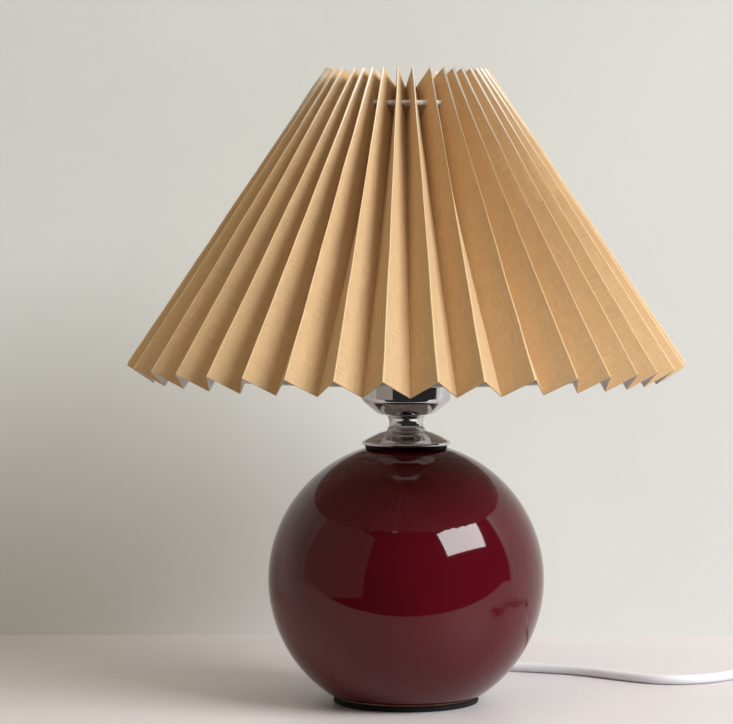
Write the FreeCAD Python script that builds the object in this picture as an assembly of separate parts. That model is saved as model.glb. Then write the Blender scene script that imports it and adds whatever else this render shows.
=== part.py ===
"""Bedside lamp: glazed ball foot, chromed neck, screw lamp holder and a pleated shade.

All lengths are in millimetres. The origin is the centre of the foot pad's underside.
+Z is up, -Y faces the viewer and the mains cord leaves at the back, towards +Y.
Angles round the lamp are counted from -Y towards +X, in degrees.
"""
import FreeCAD, Part
import math
import os

Vector = FreeCAD.Vector
up = Vector(0, 0, 1)
origin = Vector(0, 0, 0)
full_turn = 360.0
half_share = 0.5
hexagon_sides = 6

# General clearances
overrun = 5.0
seat_clearance = 0.3
bore_clearance = 0.1
pivot_clearance = 0.06

# Foot pad and base plate
pad_radius = 39.0
pad_thickness = 3.0
pad_edge_radius = 0.8
plate_radius = 38.5
plate_thickness = 1.0
plate_step_radius = 26.0
plate_step_height = 2.0

# Ceramic ball
ball_radius = 74.2
ball_wall = 5.0
ball_foot_radius = 40.6
ball_flat_radius = 22.0
ball_collar_radius = 16.0
ball_collar_depth = 8.0
foot_height = pad_thickness + plate_thickness
ball_centre = foot_height + math.sqrt(ball_radius ** 2 - ball_foot_radius ** 2)
ball_top = ball_centre + math.sqrt(ball_radius ** 2 - ball_flat_radius ** 2)

# Threaded tube that clamps ball, neck and holder together
tube_radius = 5.0
tube_bore_radius = 3.9
tube_spare_below = 4.0
tube_hole_radius = tube_radius + bore_clearance
washer_radius = 13.0
washer_thickness = 1.5
inner_nut_flats = 17.0
inner_nut_height = 5.0
cup_nut_flats = 14.0
cup_nut_height = 4.0

# Neck: gasket, flared cap and waisted spool
gasket_thickness = 1.7
gasket_width = 6.0
cap_radius = 23.8
cap_height = 8.5
cap_rim_radius = 1.2
cap_wall = 1.0
cap_bead_radius = 10.4
cap_bead_height = 1.0
cap_shoulder_height = 7.5
cap_cone_share = 0.63
cap_under_share = 0.48
spool_height = 7.5
spool_foot_radius = 10.2
spool_waist_radius = 9.2
spool_top_radius = 10.3
spool_edge_height = 0.4
spool_flare_height = 2.7
spool_flare_share = 0.3
spool_lip_share = 0.8
cap_base = ball_top + gasket_thickness
spool_base = cap_base + cap_height
cup_base = spool_base + spool_height

# Chromed cup round the holder
cup_radius = 24.0
cup_wall = 1.0
cup_height = 44.0
cup_dish_radius = 15.4
cup_dish_rise = 1.0
cup_cone_height = 7.4
cup_cone_radius = 23.2
cup_edge_height = 9.6
cup_dish_share = 0.3
cup_bulge_share = 0.78
cup_top = cup_base + cup_height

# Lamp holder
holder_radius = 19.7
holder_wall = 2.5
holder_ledge_width = 1.5
holder_ledge_drop = 5.8
holder_floor = 1.9
holder_neck_radius = 9.0
holder_neck_height = 6.0
holder_dome_height = 4.0
holder_cap_height = 22.0
holder_lip_radius = 14.2
holder_lip_height = 3.0
holder_bore_radius = 15.2
holder_flange_radius = 23.7
holder_flange_thickness = 2.0
holder_thread_height = 14.0
holder_base = cup_base + cup_wall + cup_nut_height
holder_split = holder_base + holder_cap_height
core_radius = 17.0
core_thickness = 8.0
core_above_split = 3.0
core_top = holder_split + core_above_split
core_bottom = core_top - core_thickness
flange_top = cup_top + holder_flange_thickness
holder_top = flange_top + holder_thread_height

# Contacts, terminals and wires inside the holder
screw_shell_radius = 14.0
screw_shell_wall = 0.4
screw_shell_height = 23.0
screw_shell_flange = 4.5
strip_thickness = 0.6
strip_width = 5.0
strip_reach = 8.0
strip_spring_rise = 2.9
strip_foot_end = 5.6
strip_bend_reach = 6.8
strip_bend_height = 2.1
strip_bridge_end = 4.8
centre_rivet_offset = 6.4
shell_rivet_offset = 11.4
rivet_radius = 1.2
terminal_width = 5.0
terminal_height = 6.0
terminal_screw_radius = 1.2
terminal_head_radius = 2.0
terminal_head_height = 1.2
wire_radius = 0.9
wire_spacing = 1.4

# Bulb with a screw cap of 27 mm
bulb_tip_radius = 4.5
bulb_tip_height = 1.6
bulb_tip_foot_radius = 2.7
bulb_tip_foot_height = 0.96
bulb_insulator_height = 3.0
bulb_insulator_radius = 11.5
bulb_insulator_foot = 6.0
bulb_cap_radius = 13.2
bulb_cap_wall = 0.4
bulb_cap_height = 21.9
bulb_cap_cone = 2.1
bulb_housing_height = 18.5
bulb_housing_radius = 19.4
bulb_housing_wall = 1.5
bulb_swell_share = 0.53
bulb_globe_radius = 22.5
bulb_globe_wall = 1.0
bulb_board_thickness = 1.5
bulb_board_inset = 0.4
chip_size = 2.8
chip_height = 0.7
chip_count = 8
chip_ring_share = 0.6
bulb_thread_pitch = 3.629
bulb_turns = 4.5
bulb_base = core_top + strip_thickness + strip_spring_rise + seat_clearance

# Ring nut that clamps the shade on the holder
nut_radius = 26.0
nut_height = 8.0
nut_grip_count = 20
nut_grip_radius = 1.2
nut_washer_thickness = 1.0
nut_bore_radius = holder_radius + seat_clearance
nut_thread_pitch = 2.5
nut_turns = 3.0
fitter_base = flange_top + seat_clearance

# Pleated shade
pleat_count = 38
pleat_pitch = full_turn / pleat_count
pleat_phase_share = 0.4667
pleat_face_width = 20.0
shade_thickness = 0.45
shade_bottom_radius = 150.0
shade_top_radius = 43.6
shade_height = 157.5
shade_drop = 18.2
shade_bottom = fitter_base - shade_drop
shade_top = shade_bottom + shade_height
panel_count = 12
# Drift of the outward folds from even spacing, as shares of a pitch, from left to right
# along the front and on round the back
bottom_drift_share = (
    -0.2, -0.2, -0.05, 0.0, 0.0, -0.05, -0.05, 0.0, 0.0, 0.1, 0.05, 0.15, 0.15,
    0.05, -0.05, -0.25, -0.25, -0.3, -0.15, -0.1, 0.0, 0.05, -0.05, 0.1, 0.0, 0.1,
    0.05, -0.1, 0.0, 0.1, -0.05, 0.05, 0.1, 0.0, -0.1, 0.05, 0.0, -0.1)
top_drift_share = (
    -0.1, -0.15, 0.1, 0.05, 0.3, 0.1, -0.15, -0.25, -0.15, -0.1, 0.25, 0.3, 0.15,
    0.0, 0.0, -0.1, -0.25, -0.2, 0.0, 0.15, -0.1, 0.1, 0.2, -0.1, 0.0, 0.15,
    -0.1, 0.0, 0.2, 0.1, -0.1, 0.1, 0.0, -0.15, 0.1, 0.15, -0.05, 0.0)

# Cord threaded through the pleats near the top
gather_radius = 43.5
gather_wire_radius = 1.5
gather_drop = 19.2
gather_hole_clearance = 0.4

# Wire frame inside the shade
frame_wire_radius = 1.5
rib_wire_radius = 1.1
rib_count = 6
rib_phase = 30.0
spoke_count = 3
spoke_wire_radius = 1.25
spoke_phase = 60.0
fitter_bore_radius = holder_radius + seat_clearance
fitter_radius = 27.0
fitter_thickness = 1.5
bottom_ring_rise = 6.0
frame_clearance = 0.1
top_ring_drop = 12.0

# Mains cord, bush and stop in the back of the ball
cord_radius = 2.7
cord_diameter = 2 * cord_radius
cord_height = 12.0
cord_bore_radius = cord_radius + bore_clearance
bush_radius = 4.3
bush_start = 36.0
bush_collar_end = 57.2
bush_collar_radius = 6.2
bush_tip_radius = 3.6
bush_tip = 70.0
stop_start = 29.0
stop_length = 4.0
stop_radius = 5.2
inner_bend_radius = 27.0
sheath_spare_above = 1.0

# Route of the cord on the table from the bush to the switch
run_share = 0.45
lead_route = [
    (0.0, 70.0, 12.0), (0.3, 84.5, 11.2), (6.8, 97.6, 9.4), (19.0, 106.6, 7.2),
    (35.0, 108.6, 5.0), (54.0, 103.4, 3.4), (76.0, 98.0, 2.7), (99.0, 88.5, 2.7),
    (121.0, 69.0, 2.7), (143.0, 53.0, 2.7), (168.0, 57.0, 2.7), (187.0, 75.0, 2.7),
    (204.0, 88.5, 4.6), (221.5, 91.7, 7.0), (238.4, 85.5, 7.0)]

# Switch in the cord, along its own axis from the end of the first route
switch_heading = -20.0
switch_length = 56.0
switch_width = 20.0
switch_height = 14.0
switch_wall = 1.6
switch_corner_radius = 5.0
switch_base_edge = 1.2
switch_cover_edge = 2.5
switch_relief_length = 10.0
switch_relief_root_radius = 4.8
switch_relief_tip_radius = 3.5
switch_column_radius = 2.4
switch_column_x = 20.0
switch_column_y = 5.9
switch_screw_radius = 1.25
switch_screw_head_radius = 1.9
switch_screw_head_height = 1.2
switch_screw_length = 11.0
switch_cord_inside = 4.0
rocker_half_length = 10.5
rocker_half_width = 5.2
rocker_tilt = 7.0
rocker_dip = 0.7
rocker_pivot_height = 10.0
rocker_pin_radius = 1.4
rocker_pin_reach = 1.7
rocker_below = 2.6
rocker_proud = 1.6
rocker_clearance = 0.35
ear_thickness = 1.6
ear_half_length = 2.8
contact_width = 4.0
contact_thickness = 0.6
contact_length = 11.0
contact_gap = 2.0
contact_rise = 2.2

# Coil of the spare cord and the route into it
coil_centre = (298.7, 2.0)
coil_turns = 6.25
coil_outer_radius = 41.0
coil_step = 6.0
coil_layer_step = 6.0
coil_climb_turns = 0.5
coil_points_per_turn = 8
coil_turn_step = 0.01
gap_points_per_edge = 4
tie_thickness = 0.8
tie_width = 9.0
tie_clearance = 0.2
tie_corner_radius = 1.5
tie_turn_shares = (0.5, 0.89)
coil_height = tie_thickness + tie_clearance + cord_radius
link_route = [(323.9, 54.4, 7.0), (334.2, 44.2, 5.4), (339.7, 30.8, 4.0)]
link_last_run = 16.0
tail_route = [(262.6, -42.9, 6.85), (248.8, -50.9, 6.85)]
tail_first_run = 16.0

# Plug with two round pins
plug_heading = 210.0
plug_height = 13.7
plug_width = 35.3
plug_length = 38.0
plug_neck_width = 14.0
plug_relief_length = 20.0
plug_relief_radius = 5.2
plug_relief_tip_radius = 3.5
plug_edge = 2.0
plug_waist_share = 0.3
plug_shoulder_share = 0.62
pin_radius = 2.0
pin_length = 19.0
pin_spacing = 18.8
pin_shank_radius = 1.5
pin_sleeve_radius = 1.9
pin_sleeve_length = 10.0
pin_root = 8.0
pin_chamfer = 0.7


# Helpers for turned, drilled and swept pieces
def cylinder(radius, low, high, x=0, y=0):
    """Upright cylinder between two heights."""
    return Part.makeCylinder(radius, high - low, Vector(x, y, low))


def ring(outer, inner, low, high):
    """Upright tube between two heights."""
    bore = cylinder(inner, low - overrun, high + overrun)
    return cylinder(outer, low, high).cut(bore)


def block(x, y, z):
    """Box between pairs of limits on each axis."""
    corner = Vector(x[0], y[0], z[0])
    return Part.makeBox(x[1] - x[0], y[1] - y[0], z[1] - z[0], corner)


def outline_edges(points):
    """Edges through (radius, height) points; a third item marks a point on an arc."""
    edges = []
    place = [Vector(p[0], 0, p[1]) for p in points]
    on_arc = [len(p) > 2 for p in points]
    index = 0
    while index < len(points):
        here = place[index]
        step = 2 if on_arc[(index + 1) % len(points)] else 1
        there = place[(index + step) % len(points)]
        if step == 2:
            middle = place[(index + 1) % len(points)]
            edges.append(Part.Arc(here, middle, there).toShape())
        else:
            edges.append(Part.LineSegment(here, there).toShape())
        index += step
    return edges


def turned(points, base=0):
    """Solid of revolution about the lamp's axis, its outline lifted by base."""
    face = Part.Face(Part.Wire(outline_edges(points)))
    face.translate(Vector(0, 0, base))
    return face.revolve(origin, up, full_turn)


def around(shape, angle):
    """Copy of a shape turned about the lamp's axis."""
    copy = shape.copy()
    copy.rotate(origin, up, angle)
    return copy


def placed(shape, place, heading):
    """Copy of a shape turned to a heading and moved from the origin to a place."""
    copy = around(shape, heading)
    copy.translate(Vector(*place))
    return copy


def hexagon_nut(flats, bore, low, height):
    """Six-sided nut with a plain bore."""
    corner = flats / math.sqrt(3)
    points = []
    for side in range(hexagon_sides + 1):
        angle = math.radians(full_turn * side / hexagon_sides)
        points.append(Vector(corner * math.cos(angle), corner * math.sin(angle), low))
    body = Part.Face(Part.makePolygon(points)).extrude(Vector(0, 0, height))
    return body.cut(cylinder(bore, low - overrun, low + height + overrun))


def on_circle(radius, angle, height):
    """Point round the lamp's axis; the angle counts from -Y towards +X."""
    turn = math.radians(angle)
    return Vector(radius * math.sin(turn), -radius * math.cos(turn), height)


def rod(start, end, radius):
    """Straight round rod between two points."""
    run = end.sub(start)
    return Part.makeCylinder(radius, run.Length, start, run)


def rounded_route(points, bend_radius=None):
    """Straight runs joined by tangent arcs, each as large as its two runs allow."""
    points = [Vector(*point) for point in points]
    edges = []
    radii = []
    start = points[0]
    for before, corner, after in zip(points, points[1:], points[2:]):
        run_in = corner.sub(before)
        run_out = after.sub(corner)
        half_turn = run_in.getAngle(run_out) / 2
        setback = run_share * min(run_in.Length, run_out.Length)
        if bend_radius:
            setback = bend_radius * math.tan(half_turn)
        radius = setback / math.tan(half_turn)
        radii.append(radius)
        toward = run_out.normalize().sub(run_in.normalize()).normalize()
        first = corner.sub(run_in * setback)
        last = corner.add(run_out * setback)
        middle = corner.add(toward * (radius / math.cos(half_turn) - radius))
        edges.append(Part.LineSegment(start, first).toShape())
        edges.append(Part.Arc(first, middle, last).toShape())
        start = last
    edges.append(Part.LineSegment(start, points[-1]).toShape())
    return Part.Wire(edges), radii


def swept(path, radius):
    """Round tube solid along a wire."""
    first = path.Edges[0]
    start = first.valueAt(first.FirstParameter)
    along = first.tangentAt(first.FirstParameter)
    circle = Part.Wire([Part.makeCircle(radius, start, along)])
    return path.makePipeShell([circle], True, False)


def cord_along(name, points, bend_radius=None):
    """Cord along a route, with its bend radii, length and volume check printed."""
    path, radii = rounded_route(points, bend_radius)
    tube = swept(path, cord_radius)
    share = tube.Volume / (math.pi * cord_radius ** 2 * path.Length)
    print(name, "length %.1f" % path.Length, "volume share %.4f" % share,
          "radii", " ".join("%.1f" % radius for radius in radii))
    return tube


# Foot and ball
def make_foot_pad():
    edge = pad_edge_radius
    return turned([
        (0, 0), (pad_radius - edge, 0), (pad_radius, edge),
        (pad_radius, pad_thickness), (0, pad_thickness)])


def make_base_plate():
    low = pad_thickness
    plate = cylinder(plate_radius, low, low + plate_thickness)
    raised = turned([
        (0, low), (plate_step_radius + plate_thickness, low),
        (plate_step_radius, low + plate_thickness + plate_step_height),
        (0, low + plate_thickness + plate_step_height)])
    dish = turned([
        (0, low - overrun), (plate_step_radius, low - overrun),
        (plate_step_radius, low), (plate_step_radius - plate_thickness,
                                   low + plate_step_height),
        (0, low + plate_step_height)])
    return plate.fuse(raised).cut(dish).removeSplitter()


def make_ceramic_ball():
    centre = Vector(0, 0, ball_centre)
    outside = Part.makeSphere(ball_radius, centre)
    body = outside.common(cylinder(ball_radius, foot_height, ball_top))
    hollow = Part.makeSphere(ball_radius - ball_wall, centre)
    collar = cylinder(ball_collar_radius, ball_top - ball_collar_depth, ball_top)
    body = body.cut(hollow.cut(collar))
    body = body.cut(cylinder(tube_hole_radius, ball_top - ball_collar_depth - overrun,
                             ball_top + overrun))
    back = Part.makeCylinder(bush_radius + bore_clearance, ball_radius,
                             Vector(0, stop_start, cord_height), Vector(0, 1, 0))
    return body.cut(back)


# Threaded tube, nuts and neck
def make_threaded_tube():
    low = ball_top - ball_collar_depth - washer_thickness - inner_nut_height
    high = holder_base + holder_neck_height
    return ring(tube_radius, tube_bore_radius, low - tube_spare_below, high)


def make_inner_washer():
    high = ball_top - ball_collar_depth
    return ring(washer_radius, tube_hole_radius, high - washer_thickness, high)


def make_inner_nut():
    high = ball_top - ball_collar_depth - washer_thickness
    return hexagon_nut(inner_nut_flats, tube_hole_radius, high - inner_nut_height,
                       inner_nut_height)


def make_neck_gasket():
    outer = ball_flat_radius - bore_clearance
    return ring(outer, outer - gasket_width, ball_top, cap_base)


def make_neck_cap():
    rim = cap_radius - cap_rim_radius
    bead_low = cap_height - cap_bead_height
    bead_root = cap_bead_radius - cap_bead_height / 2
    inner = rim - cap_wall
    plate_under = cap_shoulder_height - cap_wall
    shoulder = cap_bead_radius + cap_rim_radius * half_share
    return turned([
        (tube_hole_radius, cap_height), (bead_root, cap_height),
        (cap_bead_radius, cap_height - cap_bead_height / 2, "arc"),
        (bead_root, bead_low), (shoulder, cap_shoulder_height),
        ((shoulder + rim) / 2, cap_height * cap_cone_share, "arc"),
        (rim, 2 * cap_rim_radius), (cap_radius, cap_rim_radius, "arc"), (rim, 0),
        (inner, 0), (inner, cap_rim_radius),
        ((shoulder + inner) / 2, cap_height * cap_under_share, "arc"),
        (shoulder - cap_wall / 2, plate_under), (tube_hole_radius, plate_under)],
        cap_base)


def make_neck_spool():
    flare = spool_foot_radius - spool_waist_radius
    top_flare = spool_top_radius - spool_waist_radius
    return turned([
        (tube_hole_radius, 0), (spool_foot_radius, 0),
        (spool_foot_radius, spool_edge_height),
        (spool_waist_radius + flare * spool_flare_share, spool_flare_height / 2, "arc"),
        (spool_waist_radius, spool_flare_height),
        (spool_waist_radius, spool_height - spool_flare_height),
        (spool_waist_radius + top_flare * spool_flare_share,
         spool_height - spool_flare_height / 2, "arc"),
        (spool_waist_radius + top_flare * spool_lip_share,
         spool_height - spool_edge_height),
        (spool_top_radius, spool_height), (tube_hole_radius, spool_height)],
        spool_base)


# Cup and lamp holder
def make_holder_cup():
    wall = cup_wall
    inside = cup_radius - wall
    dish_middle = (spool_top_radius + cup_dish_radius) / 2
    edge_middle = (cup_cone_height + cup_edge_height) / 2
    bulge = (cup_radius - cup_cone_radius) * cup_bulge_share
    return turned([
        (tube_hole_radius, 0), (spool_top_radius, 0),
        (dish_middle, cup_dish_rise * cup_dish_share, "arc"), (cup_dish_radius, cup_dish_rise),
        (cup_cone_radius, cup_cone_height),
        (cup_cone_radius + bulge, edge_middle, "arc"),
        (cup_radius, cup_edge_height), (cup_radius, cup_height),
        (inside, cup_height), (inside, cup_edge_height),
        (inside - (cup_radius - cup_cone_radius) + bulge, edge_middle, "arc"),
        (cup_cone_radius - wall, cup_cone_height + wall / 2),
        (cup_dish_radius - wall / 2, cup_dish_rise + wall),
        (spool_top_radius, wall), (tube_hole_radius, wall)],
        cup_base)


def make_cup_nut():
    return hexagon_nut(cup_nut_flats, tube_hole_radius, cup_base + cup_wall,
                       cup_nut_height)


def make_holder_cap():
    dome_low = holder_neck_height
    dome_high = dome_low + holder_dome_height
    inside = holder_radius - holder_wall
    ledge = core_bottom - holder_base
    body = turned([
        (0, 0), (holder_neck_radius, 0), (holder_neck_radius, dome_low),
        (holder_radius, dome_high), (holder_radius, holder_cap_height),
        (inside, holder_cap_height), (inside, ledge),
        (inside - holder_ledge_width, ledge),
        (inside - holder_ledge_width, ledge - holder_ledge_drop),
        (holder_neck_radius - holder_wall, dome_low + holder_floor), (0, dome_low)],
        holder_base)
    return body.cut(cylinder(tube_hole_radius, holder_base - overrun,
                             holder_base + holder_neck_height + overrun))


def make_holder_sleeve():
    low = holder_split
    body = cylinder(holder_radius, low, holder_top)
    flange = cylinder(holder_flange_radius, cup_top, flange_top)
    bore = cylinder(holder_bore_radius, low - overrun, holder_top - holder_lip_height)
    seat = cylinder(holder_radius - holder_wall, low - overrun, core_top)
    mouth = cylinder(holder_lip_radius, low, holder_top + overrun)
    return body.fuse(flange).cut(bore).cut(seat).cut(mouth).removeSplitter()


def make_holder_core():
    body = cylinder(core_radius, core_bottom, core_top)
    for offset in (-centre_rivet_offset, shell_rivet_offset):
        body = body.cut(cylinder(rivet_radius, core_bottom - overrun,
                                 core_top + overrun, offset))
    return body


def make_contact_rivets():
    head = core_top + strip_thickness
    shell_head = core_top + screw_shell_wall
    return [cylinder(rivet_radius, core_bottom, head, -centre_rivet_offset),
            cylinder(rivet_radius, core_bottom, shell_head, shell_rivet_offset)]


def make_screw_shell():
    inner = screw_shell_radius - screw_shell_wall
    shell = ring(screw_shell_radius, inner, core_top, core_top + screw_shell_height)
    flange = ring(screw_shell_radius, screw_shell_radius - screw_shell_flange,
                  core_top, core_top + screw_shell_wall)
    hole = cylinder(rivet_radius, core_top - overrun, core_top + overrun,
                    shell_rivet_offset)
    return shell.fuse(flange).cut(hole).removeSplitter()


def make_centre_contact():
    low = core_top
    thick = strip_thickness
    rise = strip_spring_rise
    outline = [
        (-strip_reach, 0), (strip_foot_end, 0), (strip_bend_reach, thick),
        (strip_bend_reach, strip_bend_height), (strip_bridge_end, rise + thick),
        (-strip_width / 2, rise + thick), (-strip_width / 2, rise),
        (strip_bridge_end - thick, rise), (strip_bend_reach - thick, strip_bend_height),
        (strip_bend_reach - thick, thick), (-strip_reach, thick)]
    points = [Vector(x, -strip_width / 2, low + z) for x, z in outline]
    face = Part.Face(Part.makePolygon(points + points[:1]))
    strip = face.extrude(Vector(0, strip_width, 0))
    hole = cylinder(rivet_radius, low - overrun, low + thick, -centre_rivet_offset)
    return strip.cut(hole)


def make_terminals():
    low = core_bottom - terminal_height
    half = terminal_width / 2
    blocks = []
    for offset in (-centre_rivet_offset, shell_rivet_offset):
        body = block((offset - half, offset + half), (-half, half), (low, core_bottom))
        inner = offset - math.copysign(half, offset)
        wire_hole = Part.makeCylinder(
            wire_radius, half, Vector(inner, 0, low + half),
            Vector(offset - inner, 0, 0))
        screw_hole = Part.makeCylinder(
            terminal_screw_radius, half, Vector(offset, half, low + half),
            Vector(0, -1, 0))
        blocks.append(body.cut(wire_hole).cut(screw_hole))
    return blocks


def make_terminal_screws():
    half = terminal_width / 2
    height = core_bottom - terminal_height + half
    screws = []
    for offset in (-centre_rivet_offset, shell_rivet_offset):
        start = Vector(offset, half, height)
        shank = Part.makeCylinder(terminal_screw_radius, half - wire_radius,
                                  Vector(offset, wire_radius, height), Vector(0, 1, 0))
        head = Part.makeCylinder(terminal_head_radius, terminal_head_height, start,
                                 Vector(0, 1, 0))
        screws.append(shank.fuse(head).removeSplitter())
    return screws


def make_wire(side, offset):
    """Insulated wire from the cut end of the cord up into its terminal."""
    start = holder_base + holder_neck_height + sheath_spare_above
    level = core_bottom - terminal_height + terminal_width / 2
    route = [(side * wire_spacing, 0, start), (side * wire_spacing, 0, level),
             (offset, 0, level)]
    return swept(rounded_route(route)[0], wire_radius)


# Bulb
def make_bulb_tip():
    return turned([
        (0, 0), (bulb_tip_foot_radius, 0), (bulb_tip_radius, bulb_tip_foot_height),
        (bulb_tip_radius, bulb_tip_height), (0, bulb_tip_height)], bulb_base)


def make_bulb_insulator():
    low = bulb_base + bulb_tip_height
    return turned([
        (0, 0), (bulb_insulator_foot, 0),
        (bulb_insulator_radius, bulb_insulator_height), (0, bulb_insulator_height)],
        low)


def make_bulb_cap():
    wall = bulb_cap_wall
    low = bulb_base + bulb_tip_height + bulb_insulator_height
    return turned([
        (bulb_insulator_radius - wall, 0), (bulb_insulator_radius, 0),
        (bulb_cap_radius, bulb_cap_cone), (bulb_cap_radius, bulb_cap_height),
        (bulb_cap_radius - wall, bulb_cap_height),
        (bulb_cap_radius - wall, bulb_cap_cone + wall)], low)


def make_bulb_housing():
    low = bulb_base + bulb_tip_height + bulb_insulator_height + bulb_cap_height
    wall = bulb_housing_wall
    root = bulb_cap_radius + wall / 2
    height = bulb_housing_height
    swell = (bulb_housing_radius + root) / 2
    body = turned([
        (bulb_cap_radius - wall, 0), (root, 0),
        (swell - wall, height * bulb_swell_share, "arc"), (bulb_housing_radius, height),
        (bulb_housing_radius - wall, height),
        (swell - 2 * wall, height * bulb_swell_share, "arc"),
        (bulb_cap_radius - wall, wall)], low)
    seat = globe_base() - bulb_board_inset - bulb_board_thickness
    return body.cut(cylinder(bulb_housing_radius - wall, seat, globe_base()))


def globe_base():
    """Height where the globe meets the housing."""
    return (bulb_base + bulb_tip_height + bulb_insulator_height + bulb_cap_height
            + bulb_housing_height)


def make_bulb_globe():
    drop = math.sqrt(bulb_globe_radius ** 2 - bulb_housing_radius ** 2)
    centre = Vector(0, 0, globe_base() + drop)
    outside = Part.makeSphere(bulb_globe_radius, centre)
    hollow = Part.makeSphere(bulb_globe_radius - bulb_globe_wall, centre)
    above = cylinder(bulb_globe_radius + overrun, globe_base(),
                     centre.z + bulb_globe_radius + overrun)
    return outside.cut(hollow).common(above)


def make_led_board():
    radius = bulb_housing_radius - bulb_housing_wall
    high = globe_base() - bulb_board_inset
    return cylinder(radius, high - bulb_board_thickness, high)


def make_led_chips():
    low = globe_base() - bulb_board_inset
    half = chip_size / 2
    reach = (bulb_housing_radius - bulb_housing_wall) * chip_ring_share
    chip = block((reach - half, reach + half), (-half, half), (low, low + chip_height))
    return [around(chip, full_turn * index / chip_count) for index in range(chip_count)]


# Ring nut and shade frame
def make_nut_washer():
    low = fitter_base + fitter_thickness + seat_clearance
    return ring(nut_radius - nut_grip_radius, nut_bore_radius, low,
                low + nut_washer_thickness)


def make_shade_nut():
    low = (fitter_base + fitter_thickness + seat_clearance + nut_washer_thickness
           + seat_clearance)
    body = ring(nut_radius, nut_bore_radius, low, low + nut_height)
    for index in range(nut_grip_count):
        notch = cylinder(nut_grip_radius, low - overrun, low + nut_height + overrun,
                         nut_radius)
        body = body.cut(around(notch, full_turn * index / nut_grip_count))
    return body


def valley_line():
    """Radius and height of the inward folds at the bottom and at the top."""
    slant = math.hypot(shade_bottom_radius - shade_top_radius, shade_height)
    inward = shade_height / slant
    upward = (shade_bottom_radius - shade_top_radius) / slant
    ends = []
    for radius, height in ((shade_bottom_radius, shade_bottom),
                           (shade_top_radius, shade_top)):
        half_chord = radius * math.radians(pleat_pitch / 2)
        depth = math.sqrt(pleat_face_width ** 2 - half_chord ** 2)
        ends.append((radius - depth * inward, height - depth * upward, depth,
                     half_chord))
    return ends


def frame_radius(height, wire_radius_here):
    """Radius where a frame wire lies just inside the inward folds."""
    bottom, top = valley_line()
    share = (height - bottom[1]) / (top[1] - bottom[1])
    fold = bottom[0] + share * (top[0] - bottom[0])
    skin = [shade_thickness * math.hypot(end[2], end[3]) / end[3]
            for end in (bottom, top)]
    lean = math.hypot(bottom[0] - top[0], top[1] - bottom[1]) / (top[1] - bottom[1])
    return (fold - skin[0] - share * (skin[1] - skin[0])
            - lean * (wire_radius_here + frame_clearance))


def ring_heights():
    """Heights of the two frame rings."""
    bottom, top = valley_line()
    return bottom[1] + bottom_ring_rise, top[1] - top_ring_drop


def make_frame_ring(height):
    radius = frame_radius(height, frame_wire_radius)
    return Part.makeTorus(radius, frame_wire_radius, Vector(0, 0, height))


def make_ribs(rings):
    low, high = ring_heights()
    ribs = []
    for index in range(rib_count):
        angle = rib_phase + full_turn * index / rib_count
        start = on_circle(frame_radius(low, frame_wire_radius), angle, low)
        end = on_circle(frame_radius(high, frame_wire_radius), angle, high)
        rib = rod(start, end, rib_wire_radius)
        for piece in rings:
            rib = rib.cut(piece)
        ribs.append(largest(rib))
    return ribs


def make_fitter_ring():
    return ring(fitter_radius, fitter_bore_radius, fitter_base,
                fitter_base + fitter_thickness)


def make_spokes(cutters):
    low, high = ring_heights()
    middle = fitter_base + fitter_thickness / 2
    reach = frame_radius(low, frame_wire_radius)
    spokes = []
    for index in range(spoke_count):
        angle = spoke_phase + full_turn * index / spoke_count
        start = on_circle(fitter_radius - spoke_wire_radius, angle, middle)
        spoke = rod(start, on_circle(reach, angle, low), spoke_wire_radius)
        for piece in cutters:
            spoke = spoke.cut(piece)
        spokes.append(largest(spoke))
    return spokes


def largest(shape):
    """Largest solid of a shape that a cut left in several."""
    return max(shape.Solids, key=lambda solid: solid.Volume)


# Pleated skin
def fold_ends(inset):
    """Bottom and top points of each fold in turn; inset 1 is the inner skin."""
    valley_bottom, valley_top = valley_line()
    ends = []
    for index in range(2 * pleat_count):
        pleat = index // 2
        following = (pleat + 1) % pleat_count
        drift = [bottom_drift_share[pleat], top_drift_share[pleat]]
        if index % 2:
            after = [bottom_drift_share[following], top_drift_share[following]]
            drift = [(one + other + 1) / 2 for one, other in zip(drift, after)]
        pair = []
        for level, valley in enumerate((valley_bottom, valley_top)):
            turn = pleat + drift[level] + pleat_phase_share
            angle = turn * pleat_pitch - full_turn / 4 + pleat_pitch / 2
            radius = (shade_bottom_radius, shade_top_radius)[level]
            height = (shade_bottom, shade_top)[level]
            if index % 2:
                radius = valley[0]
                height = valley[1]
            skin = shade_thickness * math.hypot(valley[2], valley[3]) / valley[3]
            pair.append(on_circle(radius - inset * skin, angle, height))
        ends.append(pair)
    return ends


def line(start, end):
    """Straight edge."""
    return Part.LineSegment(start, end).toShape()


def make_panel(outer, inner):
    """Pleated panel between the fold lines of its outer and inner skins."""
    faces = []
    for index in range(len(outer) - 1):
        for skin in (outer, inner):
            faces.append(Part.makeRuledSurface(line(*skin[index]), line(*skin[index + 1])))
        for level in (0, 1):
            faces.append(Part.makeRuledSurface(
                line(outer[index][level], outer[index + 1][level]),
                line(inner[index][level], inner[index + 1][level])))
    for index in (0, -1):
        faces.append(Part.makeRuledSurface(line(*outer[index]), line(*inner[index])))
    shell = Part.makeShell(faces)
    shell.sewShape()
    panel = Part.makeSolid(Part.Shell(shell.Faces))
    if panel.Volume < 0:
        panel.reverse()
    return panel


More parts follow.
